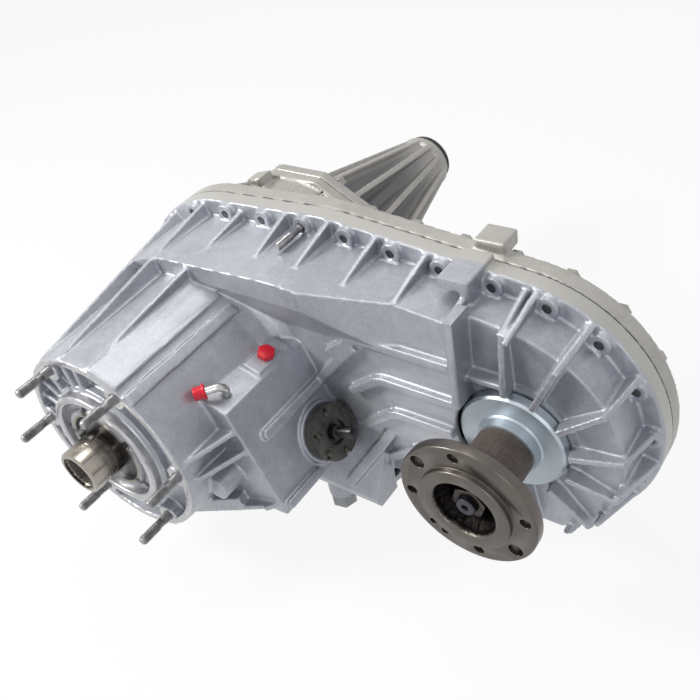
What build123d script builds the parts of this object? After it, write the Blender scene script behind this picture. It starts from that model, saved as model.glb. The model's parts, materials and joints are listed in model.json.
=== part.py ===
from build123d import *
import math
import os

os.makedirs("parts", exist_ok=True)

# Transfer case, millimetres. The shafts run along Y, the front of the vehicle is at -Y, +Z is up.
# X runs from the input axis to the front output axis. The origin is the centre of the input
# mounting face, where the six studs stand on the input axis.

# Driving dimensions of the case
centre_distance = 323.0
wall = 6.0
rim_front = 211.0
rim_half = 17.0
split = rim_front + rim_half
rim_rear = split + rim_half
rim_overhang = 17.0
bolt_inset = 10.5
bolt_count = 29
first_bolt = 105.0
bolt_radius = 4.0
pad_radius = 9.5
pad_proud = 6.0

# Outline of the rim: three round stretches and the straight lines that touch them
input_end_radius = 137.0
crown_x = 118.0
crown_rise = 3.0
crown_radius = 141.0
output_end_inset = 21.0
output_end_drop = 4.0
output_end_radius = 130.0

# Front faces of the chain case
wall_front = 157.0
step_front = 131.0
step_end_x = 150.0
step_ramp_x = 228.0
recess_front = 173.0
recess_x = 282.0
slope_x = 190.0
slope_front = (110.0, -57.7)
slope_rear = (211.0, -125.0)
slope_share = 1.25

# Bell of the input side
bell_front_radius = 98.0
bell_rear_radius = 108.0
lip_width = 7.0
channel_depth = 12.0
pilot_radius = 62.0
pilot_proud = 7.5
stud_circle = 87.2
stud_count = 6
stud_radius = 4.75
stud_root = 5.0
stud_proud = 35.0

# Input shaft, its bearing and the planetary set
sleeve_radius = 22.5
sleeve_bore = 17.0
sleeve_front = -38.7
bearing_bore = 30.0
bearing_outer = 50.0
bearing_front = 8.0
bearing_width = 22.0
gear_module = 3.0
sun_teeth = 28
planet_teeth = 10
planet_count = 4
gear_front = 44.0
gear_width = 24.0
pin_radius = 6.0
ring_outer = 80.0
fit = 0.05
run = 0.1

ring_teeth = sun_teeth + 2 * planet_teeth
sun_pitch = gear_module * sun_teeth / 2
planet_pitch = gear_module * planet_teeth / 2
ring_pitch = gear_module * ring_teeth / 2
carrier_radius = sun_pitch + planet_pitch
gear_rear = gear_front + gear_width

# Range and mode clutches
clutch_radius = 34.0
clutch_width = 8.0
shift_travel = 16.0
low_front = 98.0
fork_thick = 5.0
fork_gap = 0.3
range_groove_y = 129.8
range_groove_radius = 40.0
mode_hub_front = 158.0
mode_hub_rear = 178.0
mode_hub_radius = 32.0
mode_groove_y = 168.8
mode_groove_radius = 38.0
collar_flange = 8.0

# Main shaft
shaft_front = 42.0
pilot_shaft = 16.0
spline_shaft = 22.0
journal_front = 180.0
journal = 28.0
journal_rear = 243.0
pump_shaft = 25.0
tail_shaft = 19.0
shaft_end = 495.0

# Chain drive
sprocket_front = 203.0
sprocket_width = 34.0
sprocket_radius = 58.0
sprocket_tooth = 3.0
sprocket_teeth = 30
chain_gap = 0.6
chain_thick = 11.0

# Front output
flange_front = 86.0
flange_thick = 11.0
flange_radius = 60.0
flange_pilot_radius = 40.0
flange_pilot_proud = 5.7
flange_bore = 27.5
hole_circle = 50.6
hub_radius = 25.5
output_shaft = 17.0
output_thread = 8.5
output_end_y = 84.0
nut_front = 89.0
nut_thick = 22.0
nut_flats = 27.0
washer_thick = 3.0
shield_radius = 47.8
shield_rear = 170.5
shield_thick = 9.9
shield_collar = 28.0
shield_collar_length = 11.4
seal_front = 173.0
seal_outer = 34.0
seal_width = 7.0
output_bearing_outer = 40.0
output_bearing_width = 18.0
output_boss_radius = 56.0
output_rear_bearing = 262.0
output_rear_width = 18.0
output_rear_outer = 31.0

# Rear case and tail housing
rear_wall = 257.0
rear_bell_radius = 106.0
tail_face = 322.0
tail_flange_radius = 113.0
tail_flange_thick = 12.0
tail_sides = 12
tail_cone_radius = 62.0
tail_end_radius = 31.0
tail_fin_root = 84.0
tail_end = 556.0
bush_bore = 24.0
bush_outer = 27.0
bush_length = 40.0
rear_bearing_front = 292.0
rear_bearing_width = 20.0
rear_bearing_outer = 45.0

# Shift box: its faces lean by box_tilt from the vertical, about the input axis
box_tilt = 20.0
box_front = 50.0
box_face = 122.0
box_drop = 116.0
housing_drop = 83.0
housing_y = 129.0
housing_radius = 27.5
housing_proud = 18.0
rail_x = 100.0
rail_z = -33.0
rail_radius = 7.0
sector_plane = 98.0
sector_thick = 6.0
sector_turn = 36.0
pin_offset = 13.0
cam_pin = 3.5
cam_pin_rise = 18.0

# Ribs, pads, lugs and small parts of the case
case_reach = 200.0
shelf_under = 105.0
shelf_root = 60.0
rib_thick = 5.5
bell_ribs = 9
first_rib_angle = 80.0
band_angle = 69.0
band_rise = 3.5
band_width = 32.0
bead_angle = 52.0
bead_rise = 5.0
bead_width = 11.0
flare_start = 128.0
web_angles = (96.0, 108.0, 133.0, 148.0, 163.0, 197.0, 212.0)
rib_pitch_angle = 22.0
gusset_length = 52.0
wall_rib = 8.0
wall_ribs = ((150.0, 71.0), (168.0, 31.0), (180.0, -5.0), (196.0, -44.0))
output_ribs = ((93.0, 110.0), (66.0, 101.0), (36.0, 96.0), (7.0, 94.0), (-21.0, 96.0),
               (-50.0, 103.0), (-80.0, 113.0))
rib_foot = 11.0
lug_x = 268.0
rear_lug_x = 274.0
stud_boss = 11.5
stud_depth = 22.0
retainer_radius = 54.0
retainer_front = -5.0
retainer_notches = 5
seal_seat = 38.0
carrier_space = 35.5
dowel_radius = 5.0
dowel_half = 9.0
dowel_inset = 11.5
dowel_steps = (-6.5, 8.5)
long_stud_step = 27
long_stud_proud = 34.0
bolt_head = 13.0
head_room = 9.5
rail_front = 36.0
rail_rear = 262.0
rail_boss_front = 24.0
spigot_radius = 16.0
drain_x = 128.0
drain_y = 149.0
drain_top = -148.0
drain_boss_radius = 14.0
sump_left = 112.0
sump_right = 196.0
sump_profile = ((158.0, -42.0), (124.0, -104.0), (130.0, -119.0), (158.0, -119.0))
sump_bar_x = 184.0
sump_bar_up = 42.0
sump_bar_lean = 60.0
bar_up = -40.0
bar_end = (181.5, 62.0)
shelf_up = 60.5
lug_top = 134.0
lug_front = 183.0
lug_deck = 10.0
lug_web = 8.0
rear_lug_top = 140.0
drain_thread = 9.0
fill_x = 205.0
fill_z = -20.0
fill_thread = 9.0
port_radius = 5.0
port_pad = 3.0
vent_radius = 3.6
vent_reach = 26.0
vent_rise = 14.0
tail_bolt_count = 8
tail_bolt_depth = 20.0
tail_bolt_inset = 10.0
output_rear_boss = 42.0
rear_rib_end = 272.0
snap_ring = 2.0
tail_seal_depth = 14.0
tail_seal_radius = 30.0
sleeve_groove = -22.0
spline_depth = 1.8
spline_wall = 0.8
spline_front = -35.7
spline_rear = 34.0
high_ring_rear = 94.0
sun_add = 2.2
gear_add = 2.2
ring_add = 2.2
gear_ded = 3.2
gear_slack = 0.25
carrier_rim = 66.0
carrier_front = 37.0
carrier_plate = 5.0
carrier_web = 55.0
tail_bearing_bore = 22.5
tone_front = 325.0
tone_width = 10.0
tone_radius = 32.0
spline_start = 400.0
mode_collar_rear = 194.0
clutch_ring_front = 184.0
output_spline = 24.0
output_shaft_journal = 22.0
chain_links = 30
hub_rear = 179.5
nut_collar = 18.0
nut_bore = 20.8
washer_rear = nut_front + nut_thick + washer_thick
threaded_angles = (8.0, 98.0, 188.0, 278.0)
threaded_radius = 4.6
plain_angles = (143.0, 323.0)
plain_radius = 6.2
small_angles = (-132.0, -118.0)
small_radius = 3.2
housing_seat = 4.0
housing_screws = 6
recess_radius = 12.0
sector_shaft_radius = 7.0
shaft_flats = 20.0
range_hub_front = 106.0
range_hub_rear = 133.0
mode_fork_front = 152.0
mode_fork_rear = 176.0
pump_radius = 50.0
pump_front = 262.0
pump_rear = 278.0
pump_port = 6.0
pickup_drop = 24.0
magnet_x = 160.0
magnet_z = -95.0

box_out = Vector(math.cos(math.radians(box_tilt)), 0, math.sin(math.radians(box_tilt)))
box_up = Vector(-math.sin(math.radians(box_tilt)), 0, math.cos(math.radians(box_tilt)))

ridge_side = (box_out * 22 - box_up * 17).normalized()
ridge_up = Vector(0, 1, 0).cross(ridge_side) * -1
ridge_middle = box_out * 111 + box_up * 8.5
vent_plane = Plane(origin=ridge_middle + Vector(0, 68, 0), z_dir=ridge_up)
port_plane = Plane(origin=ridge_middle + Vector(0, 123, 0), z_dir=ridge_up)


def circle_places(radius, count, first=0.0):
    """X and Z of places spaced evenly round the input axis, the first so many steps from +X."""
    angles = [2 * math.pi * (index + first) / count for index in range(count)]
    return [(radius * math.cos(angle), radius * math.sin(angle)) for angle in angles]


stud_places = circle_places(stud_circle, stud_count)
planet_places = circle_places(carrier_radius, planet_count)
tail_bolt_places = circle_places(tail_flange_radius - tail_bolt_inset, tail_bolt_count, 0.5)


def face_at(y):
    """Plane square to the shafts, seen from the front: local x is X, local y is Z."""
    return Plane(origin=(0, y, 0), x_dir=(1, 0, 0), z_dir=(0, -1, 0))


def box_plane(out, y=0.0, up=0.0):
    """Plane parallel to the outer face of the shift box: local x is Y, local y is up the box."""
    origin = box_out * out + box_up * up + Vector(0, y, 0)
    return Plane(origin=origin, x_dir=(0, 1, 0), z_dir=box_out)


def in_box(out, up):
    """X and Z of a point given by its distance out from the input axis and up the box."""
    place = box_out * out + box_up * up
    return (place.X, place.Z)


def turned(profile, axis_x=0.0, mode=Mode.ADD):
    """Body of revolution about a shaft axis, from (radius, y) points."""
    with BuildSketch(Plane.XY) as section:
        with BuildLine():
            Polyline(*[(axis_x + radius, y) for radius, y in profile], close=True)
        make_face()
    revolve(section.sketch, axis=Axis((axis_x, 0, 0), (0, 1, 0)), mode=mode)


def ring(inner, outer, front, rear, axis_x=0.0, mode=Mode.ADD):
    """Plain ring about a shaft axis."""
    turned([(inner, front), (outer, front), (outer, rear), (inner, rear)], axis_x, mode)


def rod(radius, front, rear, x=0.0, z=0.0, mode=Mode.ADD):
    """Round bar along Y."""
    with BuildSketch(face_at(front)) as section:
        with Locations((x, z)):
            Circle(radius)
    extrude(section.sketch, amount=front - rear, mode=mode)


def rods(radius, front, rear, places, mode=Mode.ADD):
    """Round bars along Y at several (x, z) places."""
    with BuildSketch(face_at(front)) as section:
        with Locations(*places):
            Circle(radius)
    extrude(section.sketch, amount=front - rear, mode=mode)


def plate(points, front, rear, mode=Mode.ADD):
    """Flat piece between two Y, from (x, z) points."""
    with BuildSketch(face_at(front)) as section:
        with BuildLine():
            Polyline(*points, close=True)
        make_face()
    extrude(section.sketch, amount=front - rear, mode=mode)


def outline_prism(inset, front, rear, mode=Mode.ADD):
    """Prism with the outline of the rim, drawn in by inset."""
    with BuildSketch(face_at(front)) as section:
        Circle(input_end_radius - inset)
        with Locations((crown_x, crown_rise)):
            Circle(crown_radius - inset)
        with Locations((centre_distance - output_end_inset, -output_end_drop)):
            Circle(output_end_radius - inset)
        make_hull()
    extrude(section.sketch, amount=front - rear, mode=mode)


def outline_wire(inset):
    """Closed line of the rim outline drawn in by inset."""
    with BuildSketch(face_at(0)) as section:
        Circle(input_end_radius - inset)
        with Locations((crown_x, crown_rise)):
            Circle(crown_radius - inset)
        with Locations((centre_distance - output_end_inset, -output_end_drop)):
            Circle(output_end_radius - inset)
        make_hull()
    return section.sketch.face().outer_wire()


edge_line = outline_wire(0)
bolt_line = outline_wire(bolt_inset)
dowel_line = outline_wire(dowel_inset)


def rim_place(loop, step):
    """X, Z and outward angle of the point on an outline after so many bolt steps."""
    along = (first_bolt + step * loop.length / bolt_count) / loop.length % 1.0
    point = loop.position_at(along)
    tangent = loop.tangent_at(along)
    return point.X, point.Z, math.degrees(math.atan2(-tangent.X, tangent.Z))


bolt_places = [rim_place(bolt_line, step)[:2] for step in range(bolt_count)]
dowel_places = [rim_place(dowel_line, step)[:2] for step in dowel_steps]


def rib(angle, corners, thick, x=0.0, z=0.0):
    """Rib in a plane along Y through (x, z): its corners are (distance out, y) points."""
    turn_up = math.radians(angle)
    outward = Vector(math.cos(turn_up), 0, math.sin(turn_up))
    base = Plane(origin=(x, 0, z), x_dir=outward, z_dir=outward.cross(Vector(0, 1, 0)))
    with BuildSketch(base) as section:
        with BuildLine():
            Polyline(*corners, close=True)
        make_face()
    extrude(section.sketch, amount=thick / 2, both=True)


def export(piece, name):
    """Write one finished piece under its name."""
    piece.part.label = name
    export_step(piece.part, f"parts/{name}.step")


def lower_slope(rise):
    """Cuts the slope between the front wall and the bottom of the rim, raised by rise."""
    with BuildSketch(Plane.YZ.offset(slope_x)) as side:
        with BuildLine():
            Polyline((slope_front[0], slope_front[1] + rise), (slope_rear[0], slope_rear[1] + rise),
                     (slope_rear[0], -case_reach), (slope_front[0], -case_reach), close=True)
        make_face()
    extrude(side.sketch, amount=2 * case_reach, mode=Mode.SUBTRACT)


def chain_block(inset, depth):
    """Solid of the front chain case, drawn in by inset and set back by depth."""
    with BuildPart() as block:
        outline_prism(inset, wall_front + depth, split)
        with BuildSketch(Plane.XY.offset(-case_reach)) as plan:
            with BuildLine():
                Polyline((-case_reach, wall_front + depth), (recess_x - depth, wall_front + depth),
                         (recess_x - depth, recess_front + depth),
                         (3 * case_reach, recess_front + depth), (3 * case_reach, split),
                         (-case_reach, split), close=True)
            make_face()
        extrude(amount=2 * case_reach, mode=Mode.INTERSECT)
        lower_slope(depth * slope_share)
    return block.part


def shelf_block():
    """Forward step of the top wall beside the bell, cut back underneath."""
    with BuildPart() as block:
        outline_prism(rim_overhang, step_front, wall_front)
        with BuildSketch(Plane.XY.offset(-case_reach)) as plan:
            with BuildLine():
                Polyline((-case_reach, step_front), (step_end_x, step_front),
                         (step_ramp_x, wall_front), (-case_reach, wall_front), close=True)
            make_face()
        extrude(amount=2 * case_reach, mode=Mode.INTERSECT)
        with BuildSketch(Plane.YZ.offset(-case_reach)) as under:
            with BuildLine():
                Polyline((step_front, shelf_under), (step_front, case_reach),
                         (wall_front, case_reach), (wall_front, shelf_root), close=True)
            make_face()
        extrude(amount=3 * case_reach, mode=Mode.INTERSECT)
    return block.part


# Front case
with BuildPart() as front_case:
    # Bell, chain case, shelf and rim as solid forms
    turned([(0, 0), (bell_front_radius, 0), (bell_rear_radius, split), (0, split)])
    add(chain_block(rim_overhang, 0))
    add(shelf_block())
    outline_prism(0, rim_front, split)
    # Shift box on the side of the bell
    box_section = [(50, 55), in_box(100, 17), in_box(box_face, 0), in_box(box_face, -box_drop),
                   (60, -74)]
    plate(box_section, box_front, recess_front)
    # Pilot ring and stud bosses of the input face
    ring(bearing_outer, pilot_radius, -pilot_proud, channel_depth + 1)
    # Lengthwise ribs of the bell, between the rim bolts
    for step in range(bell_ribs):
        rib(first_rib_angle + step * rib_pitch_angle,
            [(bell_front_radius - 6, 3), (bell_front_radius + 1.5, 3),
             (input_end_radius - 3, rim_front + 1), (bell_front_radius - 6, rim_front + 1)], rib_thick)
    # Raised flat band and rounded bead on the upper side of the bell, up to the shelf
    for angle, rise, thick in ((band_angle, band_rise, band_width), (bead_angle, bead_rise, bead_width)):
        rib(angle, [(bell_front_radius - 12, 1), (bell_front_radius + rise - 1, 1),
                    (bell_front_radius + rise, 3), (bell_front_radius + rise + 5, step_front + 3),
                    (bell_front_radius - 12, step_front + 3)], thick)
    # Flare where the bell meets the front wall
    turned([(bell_front_radius, flare_start), (bell_front_radius + 5.6, flare_start),
            (bell_front_radius + 9, wall_front - 14), (bell_front_radius + 13, wall_front - 6),
            (bell_front_radius + 21, wall_front + 1), (bell_front_radius, wall_front + 1)])
    # Triangular gussets from the rim to the top wall
    for step in [*range(-8, -1), *range(12, 19)]:
        x, z, angle = rim_place(edge_line, step + 0.5)
        rib(angle, [(-rim_overhang - 3, rim_front + 1), (-1.5, rim_front + 1),
                    (-1.5, rim_front - 2), (-rim_overhang + 1, rim_front - gusset_length),
                    (-rim_overhang - 3, rim_front - gusset_length)], rib_thick, x, z)
    # Boss of the front output bearing and the ribs that run from it to the rim
    rod(output_boss_radius, recess_front - 1, split, centre_distance, 0)
    for angle, knee in output_ribs:
        rib(angle, [(output_boss_radius - 8, recess_front + 4), (output_boss_radius - 4, wall_front),
                    (knee, wall_front + wall_rib), (knee + rib_foot, rim_front - 3),
                    (knee + rib_foot, rim_front + 1), (output_boss_radius - 8, rim_front + 1)],
            rib_thick, centre_distance, 0)
    # Upright rib and the three curved ribs of the front wall
    plate([(recess_x - 4, -55), (recess_x + 4, -55), (recess_x + 4, 121), (recess_x - 4, 121)],
          wall_front - wall_rib, recess_front + 2)
    for start_x, height in wall_ribs:
        with BuildSketch(face_at(wall_front - wall_rib + 1)) as bent:
            with BuildLine():
                FilletPolyline((recess_x, height), (start_x + 34, height), (start_x, height - 26),
                               radius=22)
            trace(line_width=9)
        extrude(bent.sketch, amount=-(wall_rib + 2))
    lower_slope(0)
    # Pads of the rim bolts
    rods(pad_radius, rim_front - pad_proud, rim_front + 2, bolt_places)
    # Shelf over the dust shield, and the rib that carries the long bar of the box on to the wall
    plate([(recess_x - 2, shelf_up - rib_thick), (centre_distance - 2, shelf_up - rib_thick),
           (centre_distance - 2, shelf_up), (recess_x - 2, shelf_up)], wall_front + 3.5, recess_front + 2)
    with BuildSketch(face_at(wall_front - wall_rib + 1)) as bar_tail:
        with BuildLine():
            Line(in_box(box_face + 2, bar_up), bar_end)
        trace(line_width=10)
    extrude(bar_tail.sketch, amount=-(wall_rib + 2))
    # Raised flat, long bars and boss of the shift shaft on the box
    with BuildSketch(box_plane(box_face - 2, housing_y, -housing_drop)) as collar:
        Circle(housing_radius + 3)
    extrude(collar.sketch, amount=6)
    with BuildSketch(box_plane(box_face - 2, 117, bar_up)) as bar:
        SlotOverall(96, 10)
    extrude(bar.sketch, amount=8)
    with BuildSketch(box_plane(box_face - 2, 78, -box_drop + 8)) as low_bar:
        SlotOverall(50, 9)
    extrude(low_bar.sketch, amount=8)
    with BuildSketch(port_plane.offset(-5)) as port_flat:
        Rectangle(20, 44)
    extrude(port_flat.sketch, amount=5 + port_pad)
    # Boss over the front end of the shift rail, gussets beside it and the drain plug boss
    rod(rail_radius + 5.5, rail_boss_front, box_front + 8, rail_x, rail_z)
    for up in (-19, -41, -104):
        with BuildSketch(Plane(origin=box_up * up, x_dir=box_out, z_dir=box_up)) as gusset:
            root = math.sqrt(bell_front_radius ** 2 - up ** 2) if abs(up) < bell_front_radius else 40
            with BuildLine():
                Polyline((root - 8, 4), (root, 4), (box_face - 1, box_front + 1),
                         (root - 12, box_front + 1), close=True)
            make_face()
        extrude(gusset.sketch, amount=2.5, both=True)
    # Sump bulge below the box, its leaning bar, and the drain plug boss
    with BuildSketch(Plane.YZ.offset(sump_left)) as sump:
        with BuildLine():
            Polyline(*sump_profile, close=True)
        make_face()
    extrude(sump.sketch, amount=sump_right - sump_left)
    slope = Plane(origin=(0, sump_profile[1][0], sump_profile[1][1]), x_dir=(1, 0, 0),
                  z_dir=Vector(0, sump_profile[0][1] - sump_profile[1][1],
                               sump_profile[1][0] - sump_profile[0][0]).normalized() * -1)
    with BuildSketch(slope.offset(-3)) as sump_bar:
        with Locations((sump_bar_x, sump_bar_up)):
            SlotOverall(82, 11, rotation=sump_bar_lean)
    extrude(sump_bar.sketch, amount=8)
    with BuildSketch(Plane.XY.offset(drain_top)) as drain_boss:
        with Locations((drain_x, drain_y)):
            Circle(drain_boss_radius)
    extrude(drain_boss.sketch, amount=60)
    # Lug on the top of the rim: a deck carried by one web
    with BuildSketch(face_at(lug_front)) as deck:
        with Locations((lug_x, lug_top - lug_deck / 2)):
            Rectangle(28, lug_deck)
    extrude(deck.sketch, amount=lug_front - split)
    with BuildSketch(Plane.YZ.offset(lug_x + 14 - lug_web)) as web:
        with BuildLine():
            Polyline((lug_front, lug_top), (lug_front, lug_top - lug_deck - 4), (196, 98), (split, 98),
                     (split, lug_top), close=True)
        make_face()
    extrude(web.sketch, amount=lug_web)
    # Inside: bearing and ring gear seats, bell, chain case and shift box
    turned([(0, -2 * pilot_proud), (retainer_radius + fit, -2 * pilot_proud),
            (retainer_radius + fit, bearing_front), (bearing_outer + fit, bearing_front),
            (bearing_outer + fit, bearing_front + bearing_width),
            (bearing_outer - 5, bearing_front + bearing_width), (bearing_outer - 5, carrier_space),
            (ring_outer - 6, carrier_space), (ring_outer - 6, gear_front - run),
            (ring_outer + fit, gear_front - run), (ring_outer + fit, gear_rear + 2),
            (bell_front_radius - 3, gear_rear + 2), (bell_rear_radius - wall, wall_front + wall),
            (bell_rear_radius - wall, split + 1), (0, split + 1)], mode=Mode.SUBTRACT)
    add(chain_block(rim_overhang + wall, wall), mode=Mode.SUBTRACT)
    plate([in_box(88, 6), in_box(box_face - wall, -4), in_box(box_face - wall, 8 - box_drop),
           in_box(88, 16 - box_drop)], box_front + wall, recess_front + wall, mode=Mode.SUBTRACT)
    plate([in_box(62, 4), in_box(90, 4), in_box(90, -86), in_box(62, -80)],
          gear_rear + 8, recess_front + wall, mode=Mode.SUBTRACT)
    # Channel between the pilot and the outer lip, with the stud bosses left standing
    ring(pilot_radius, bell_front_radius - lip_width, -1, channel_depth, mode=Mode.SUBTRACT)
    rods(stud_boss, 0, channel_depth + 1, stud_places)
    ring(pilot_radius - 1, pilot_radius + 4, 3, channel_depth + 1)
    for angle in web_angles:
        rib(angle, [(pilot_radius - 1, 2), (bell_front_radius - lip_width + 1, 4),
                    (bell_front_radius - lip_width + 1, channel_depth + 1),
                    (pilot_radius - 1, channel_depth + 1)], rib_thick)
    ring(bell_front_radius - 1, bell_front_radius + 20, -1, 0, mode=Mode.SUBTRACT)
    # Room round the dust shield, and the inner boss of the front output bearing
    rod(shield_radius + 2, wall_front - wall_rib - 2, recess_front - 1, centre_distance, 0, Mode.SUBTRACT)
    rod(output_bearing_outer + wall + 2, recess_front + 3, sprocket_front - 2, centre_distance, 0)
    # Bores and holes
    rod(seal_outer + fit, recess_front - 20, seal_front + seal_width + 1, centre_distance, 0, Mode.SUBTRACT)
    rod(output_bearing_outer + fit, seal_front + seal_width, split, centre_distance, 0, Mode.SUBTRACT)
    rods(stud_root + fit, -1, stud_depth, stud_places, Mode.SUBTRACT)
    rods(bolt_radius + fit, rim_front - pad_proud - 1, split + 1, bolt_places, Mode.SUBTRACT)
    rods(dowel_radius + fit, split - dowel_half, split + 1, dowel_places, Mode.SUBTRACT)
    rod(rail_radius + fit, rail_front - 1, split, rail_x, rail_z, Mode.SUBTRACT)
    with BuildSketch(box_plane(box_face + 20, housing_y, -housing_drop)) as spigot_hole:
        Circle(spigot_radius + fit)
    extrude(spigot_hole.sketch, amount=-40, mode=Mode.SUBTRACT)
    with BuildSketch(Plane.XY.offset(drain_top - 1)) as drain_hole:
        with Locations((drain_x, drain_y)):
            Circle(drain_thread + fit)
    extrude(drain_hole.sketch, amount=24, mode=Mode.SUBTRACT)
    for plane, radius in ((port_plane, port_radius + fit), (vent_plane, vent_radius + fit)):
        with BuildSketch(plane) as top_hole:
            Circle(radius)
        extrude(top_hole.sketch, amount=12, both=True, mode=Mode.SUBTRACT)
export(front_case, "front_case")

# Rear case
with BuildPart() as rear_case:
    outline_prism(0, split, rim_rear)
    outline_prism(rim_overhang, split, rear_wall)
    turned([(0, split), (rear_bell_radius + 6, split), (rear_bell_radius, tail_face), (0, tail_face)])
    with BuildSketch(face_at(tail_face - tail_flange_thick)) as flange:
        RegularPolygon(tail_flange_radius, tail_sides, rotation=180 / tail_sides)
    extrude(flange.sketch, amount=-tail_flange_thick)
    rod(output_rear_boss, rear_wall - 1, output_rear_bearing + output_rear_width + wall, centre_distance, 0)
    for angle in range(-75, 76, 25):
        rib(angle, [(output_rear_boss - 6, rim_rear - 2), (output_rear_boss - 3, rear_rib_end),
                    (90, rear_wall + 3), (100, rim_rear - 2)], rib_thick, centre_distance, 0)
    for angle in range(105, 270, 22):
        rib(angle, [(rear_bell_radius - 4, rim_rear - 1), (rear_bell_radius - 4, tail_face - 14),
                    (rear_bell_radius + 3, tail_face - 14), (input_end_radius - 3, rim_rear - 1)], rib_thick)
    # Lugs on the top of the rim and on the tail seat
    with BuildSketch(face_at(rim_rear - 12)) as lug:
        with Locations((rear_lug_x, rear_lug_top - 17)):
            Rectangle(27, 34)
    extrude(lug.sketch, amount=-26)
    with BuildSketch(face_at(tail_face - 34)) as small_lug:
        with PolarLocations(tail_flange_radius - 3, 1, start_angle=106):
            Rectangle(18, 22)
    extrude(small_lug.sketch, amount=-18)
    # Inside: chain case, bell, bearing seats
    outline_prism(rim_overhang + wall, split - 1, rear_wall - wall, mode=Mode.SUBTRACT)
    turned([(0, split - 1), (rear_bell_radius - wall, split - 1),
            (rear_bell_radius - wall, rear_bearing_front - 10), (60, rear_bearing_front - 10),
            (60, rear_bearing_front - 2), (rear_bearing_outer - 6, rear_bearing_front - 2),
            (rear_bearing_outer - 6, rear_bearing_front), (rear_bearing_outer + fit, rear_bearing_front),
            (rear_bearing_outer + fit, rear_bearing_front + rear_bearing_width + snap_ring),
            (rear_bearing_outer + 4, rear_bearing_front + rear_bearing_width + snap_ring),
            (rear_bearing_outer + 4, tail_face + 1), (0, tail_face + 1)], mode=Mode.SUBTRACT)
    rod(output_rear_outer + fit, split, output_rear_bearing + output_rear_width, centre_distance, 0,
        Mode.SUBTRACT)
    rod(rail_radius + 5, rear_wall - wall - 1, rear_wall + 10, rail_x, rail_z)
    rod(rail_radius + fit, split, rail_rear, rail_x, rail_z, Mode.SUBTRACT)
    # Holes for the rim bolts, dowels, tail bolts and the fill plug
    rods(bolt_radius + fit, split - 1, rim_rear + 1, bolt_places, Mode.SUBTRACT)
    rods(head_room, rim_rear, rim_rear + 30, bolt_places, Mode.SUBTRACT)
    rods(dowel_radius + fit, split - 1, split + dowel_half, dowel_places, Mode.SUBTRACT)
    rods(bolt_radius + fit, tail_face - tail_bolt_depth, tail_face + 1, tail_bolt_places, Mode.SUBTRACT)
    rod(fill_thread + fit, rear_wall - wall - 1, rear_wall + 1, fill_x, fill_z, Mode.SUBTRACT)
export(rear_case, "rear_case")

# Tail housing: bolted flange, fluted cone and a round end
with BuildPart() as tail_housing:
    turned([(0, tail_face), (tail_cone_radius, tail_face), (tail_cone_radius, tail_face + 16),
            (tail_end_radius + 1, tail_end - 14), (tail_end_radius + 4, tail_end - 10),
            (tail_end_radius + 4, tail_end), (0, tail_end)])
    with BuildSketch(face_at(tail_face)) as flange:
        RegularPolygon(tail_flange_radius, tail_sides, rotation=180 / tail_sides)
    extrude(flange.sketch, amount=-tail_flange_thick)
    for index in range(tail_sides):
        rib(index * 360 / tail_sides, [(24, tail_face + 8), (tail_fin_root, tail_face + 8),
                                       (tail_end_radius + 4, tail_end - 6), (24, tail_end - 6)], 7)
    turned([(0, tail_face - 1), (tail_cone_radius - wall - 6, tail_face - 1),
            (tail_cone_radius - wall - 6, tail_face + 14), (bush_outer + fit, tail_end - bush_length - 44),
            (bush_outer + fit, tail_end - tail_seal_depth), (tail_seal_radius + fit, tail_end - tail_seal_depth),
            (tail_seal_radius + fit, tail_end + 1), (0, tail_end + 1)], mode=Mode.SUBTRACT)
    rods(bolt_radius + fit, tail_face - 1, tail_face + 40, tail_bolt_places, Mode.SUBTRACT)
    rods(head_room, tail_face + tail_flange_thick, tail_face + 60, tail_bolt_places, Mode.SUBTRACT)
export(tail_housing, "tail_housing")

# Rubber seal and bronze bush of the tail end
with BuildPart() as tail_seal:
    turned([(bush_bore + 1, tail_end - tail_seal_depth), (tail_seal_radius, tail_end - tail_seal_depth),
            (tail_seal_radius, tail_end + 2), (tail_seal_radius + 1.5, tail_end + 9),
            (tail_seal_radius - 2, tail_end + 9), (bush_bore + 1, tail_end + 1)])
export(tail_seal, "tail_seal")

with BuildPart() as tail_bush:
    ring(bush_bore, bush_outer, tail_end - tail_seal_depth - bush_length, tail_end - tail_seal_depth)
export(tail_bush, "tail_bush")

# Bearing retainer in the input face, with cut notches
with BuildPart() as input_retainer:
    turned([(seal_seat, retainer_front), (retainer_radius - 10, retainer_front),
            (retainer_radius - 8, retainer_front + 3), (retainer_radius, retainer_front + 3),
            (retainer_radius, bearing_front), (bearing_outer - 5, bearing_front),
            (bearing_outer - 5, bearing_front - 2), (seal_seat, bearing_front - 2)])
    with BuildSketch(face_at(retainer_front - 1)) as notches:
        with PolarLocations(retainer_radius - 9, retainer_notches, start_angle=30):
            SlotOverall(18, 8, rotation=0)
    extrude(notches.sketch, amount=-6, mode=Mode.SUBTRACT)
export(input_retainer, "input_retainer")

with BuildPart() as input_seal:
    turned([(sleeve_radius + run, retainer_front + 5), (seal_seat - fit, retainer_front + 5),
            (seal_seat - fit, bearing_front - 2), (sleeve_radius + 6, bearing_front - 2),
            (sleeve_radius + 6, retainer_front + 8), (sleeve_radius + run, retainer_front + 8)])
export(input_seal, "input_seal")


def bearing(inner, outer, front, width, axis_x=0.0):
    """Sealed bearing: two races and the shields between them."""
    race = (outer - inner) * 0.3
    ring(inner, inner + race, front, front + width, axis_x)
    ring(outer - race, outer, front, front + width, axis_x)
    ring(inner + race, outer - race, front + 2, front + width - 2, axis_x)


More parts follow.
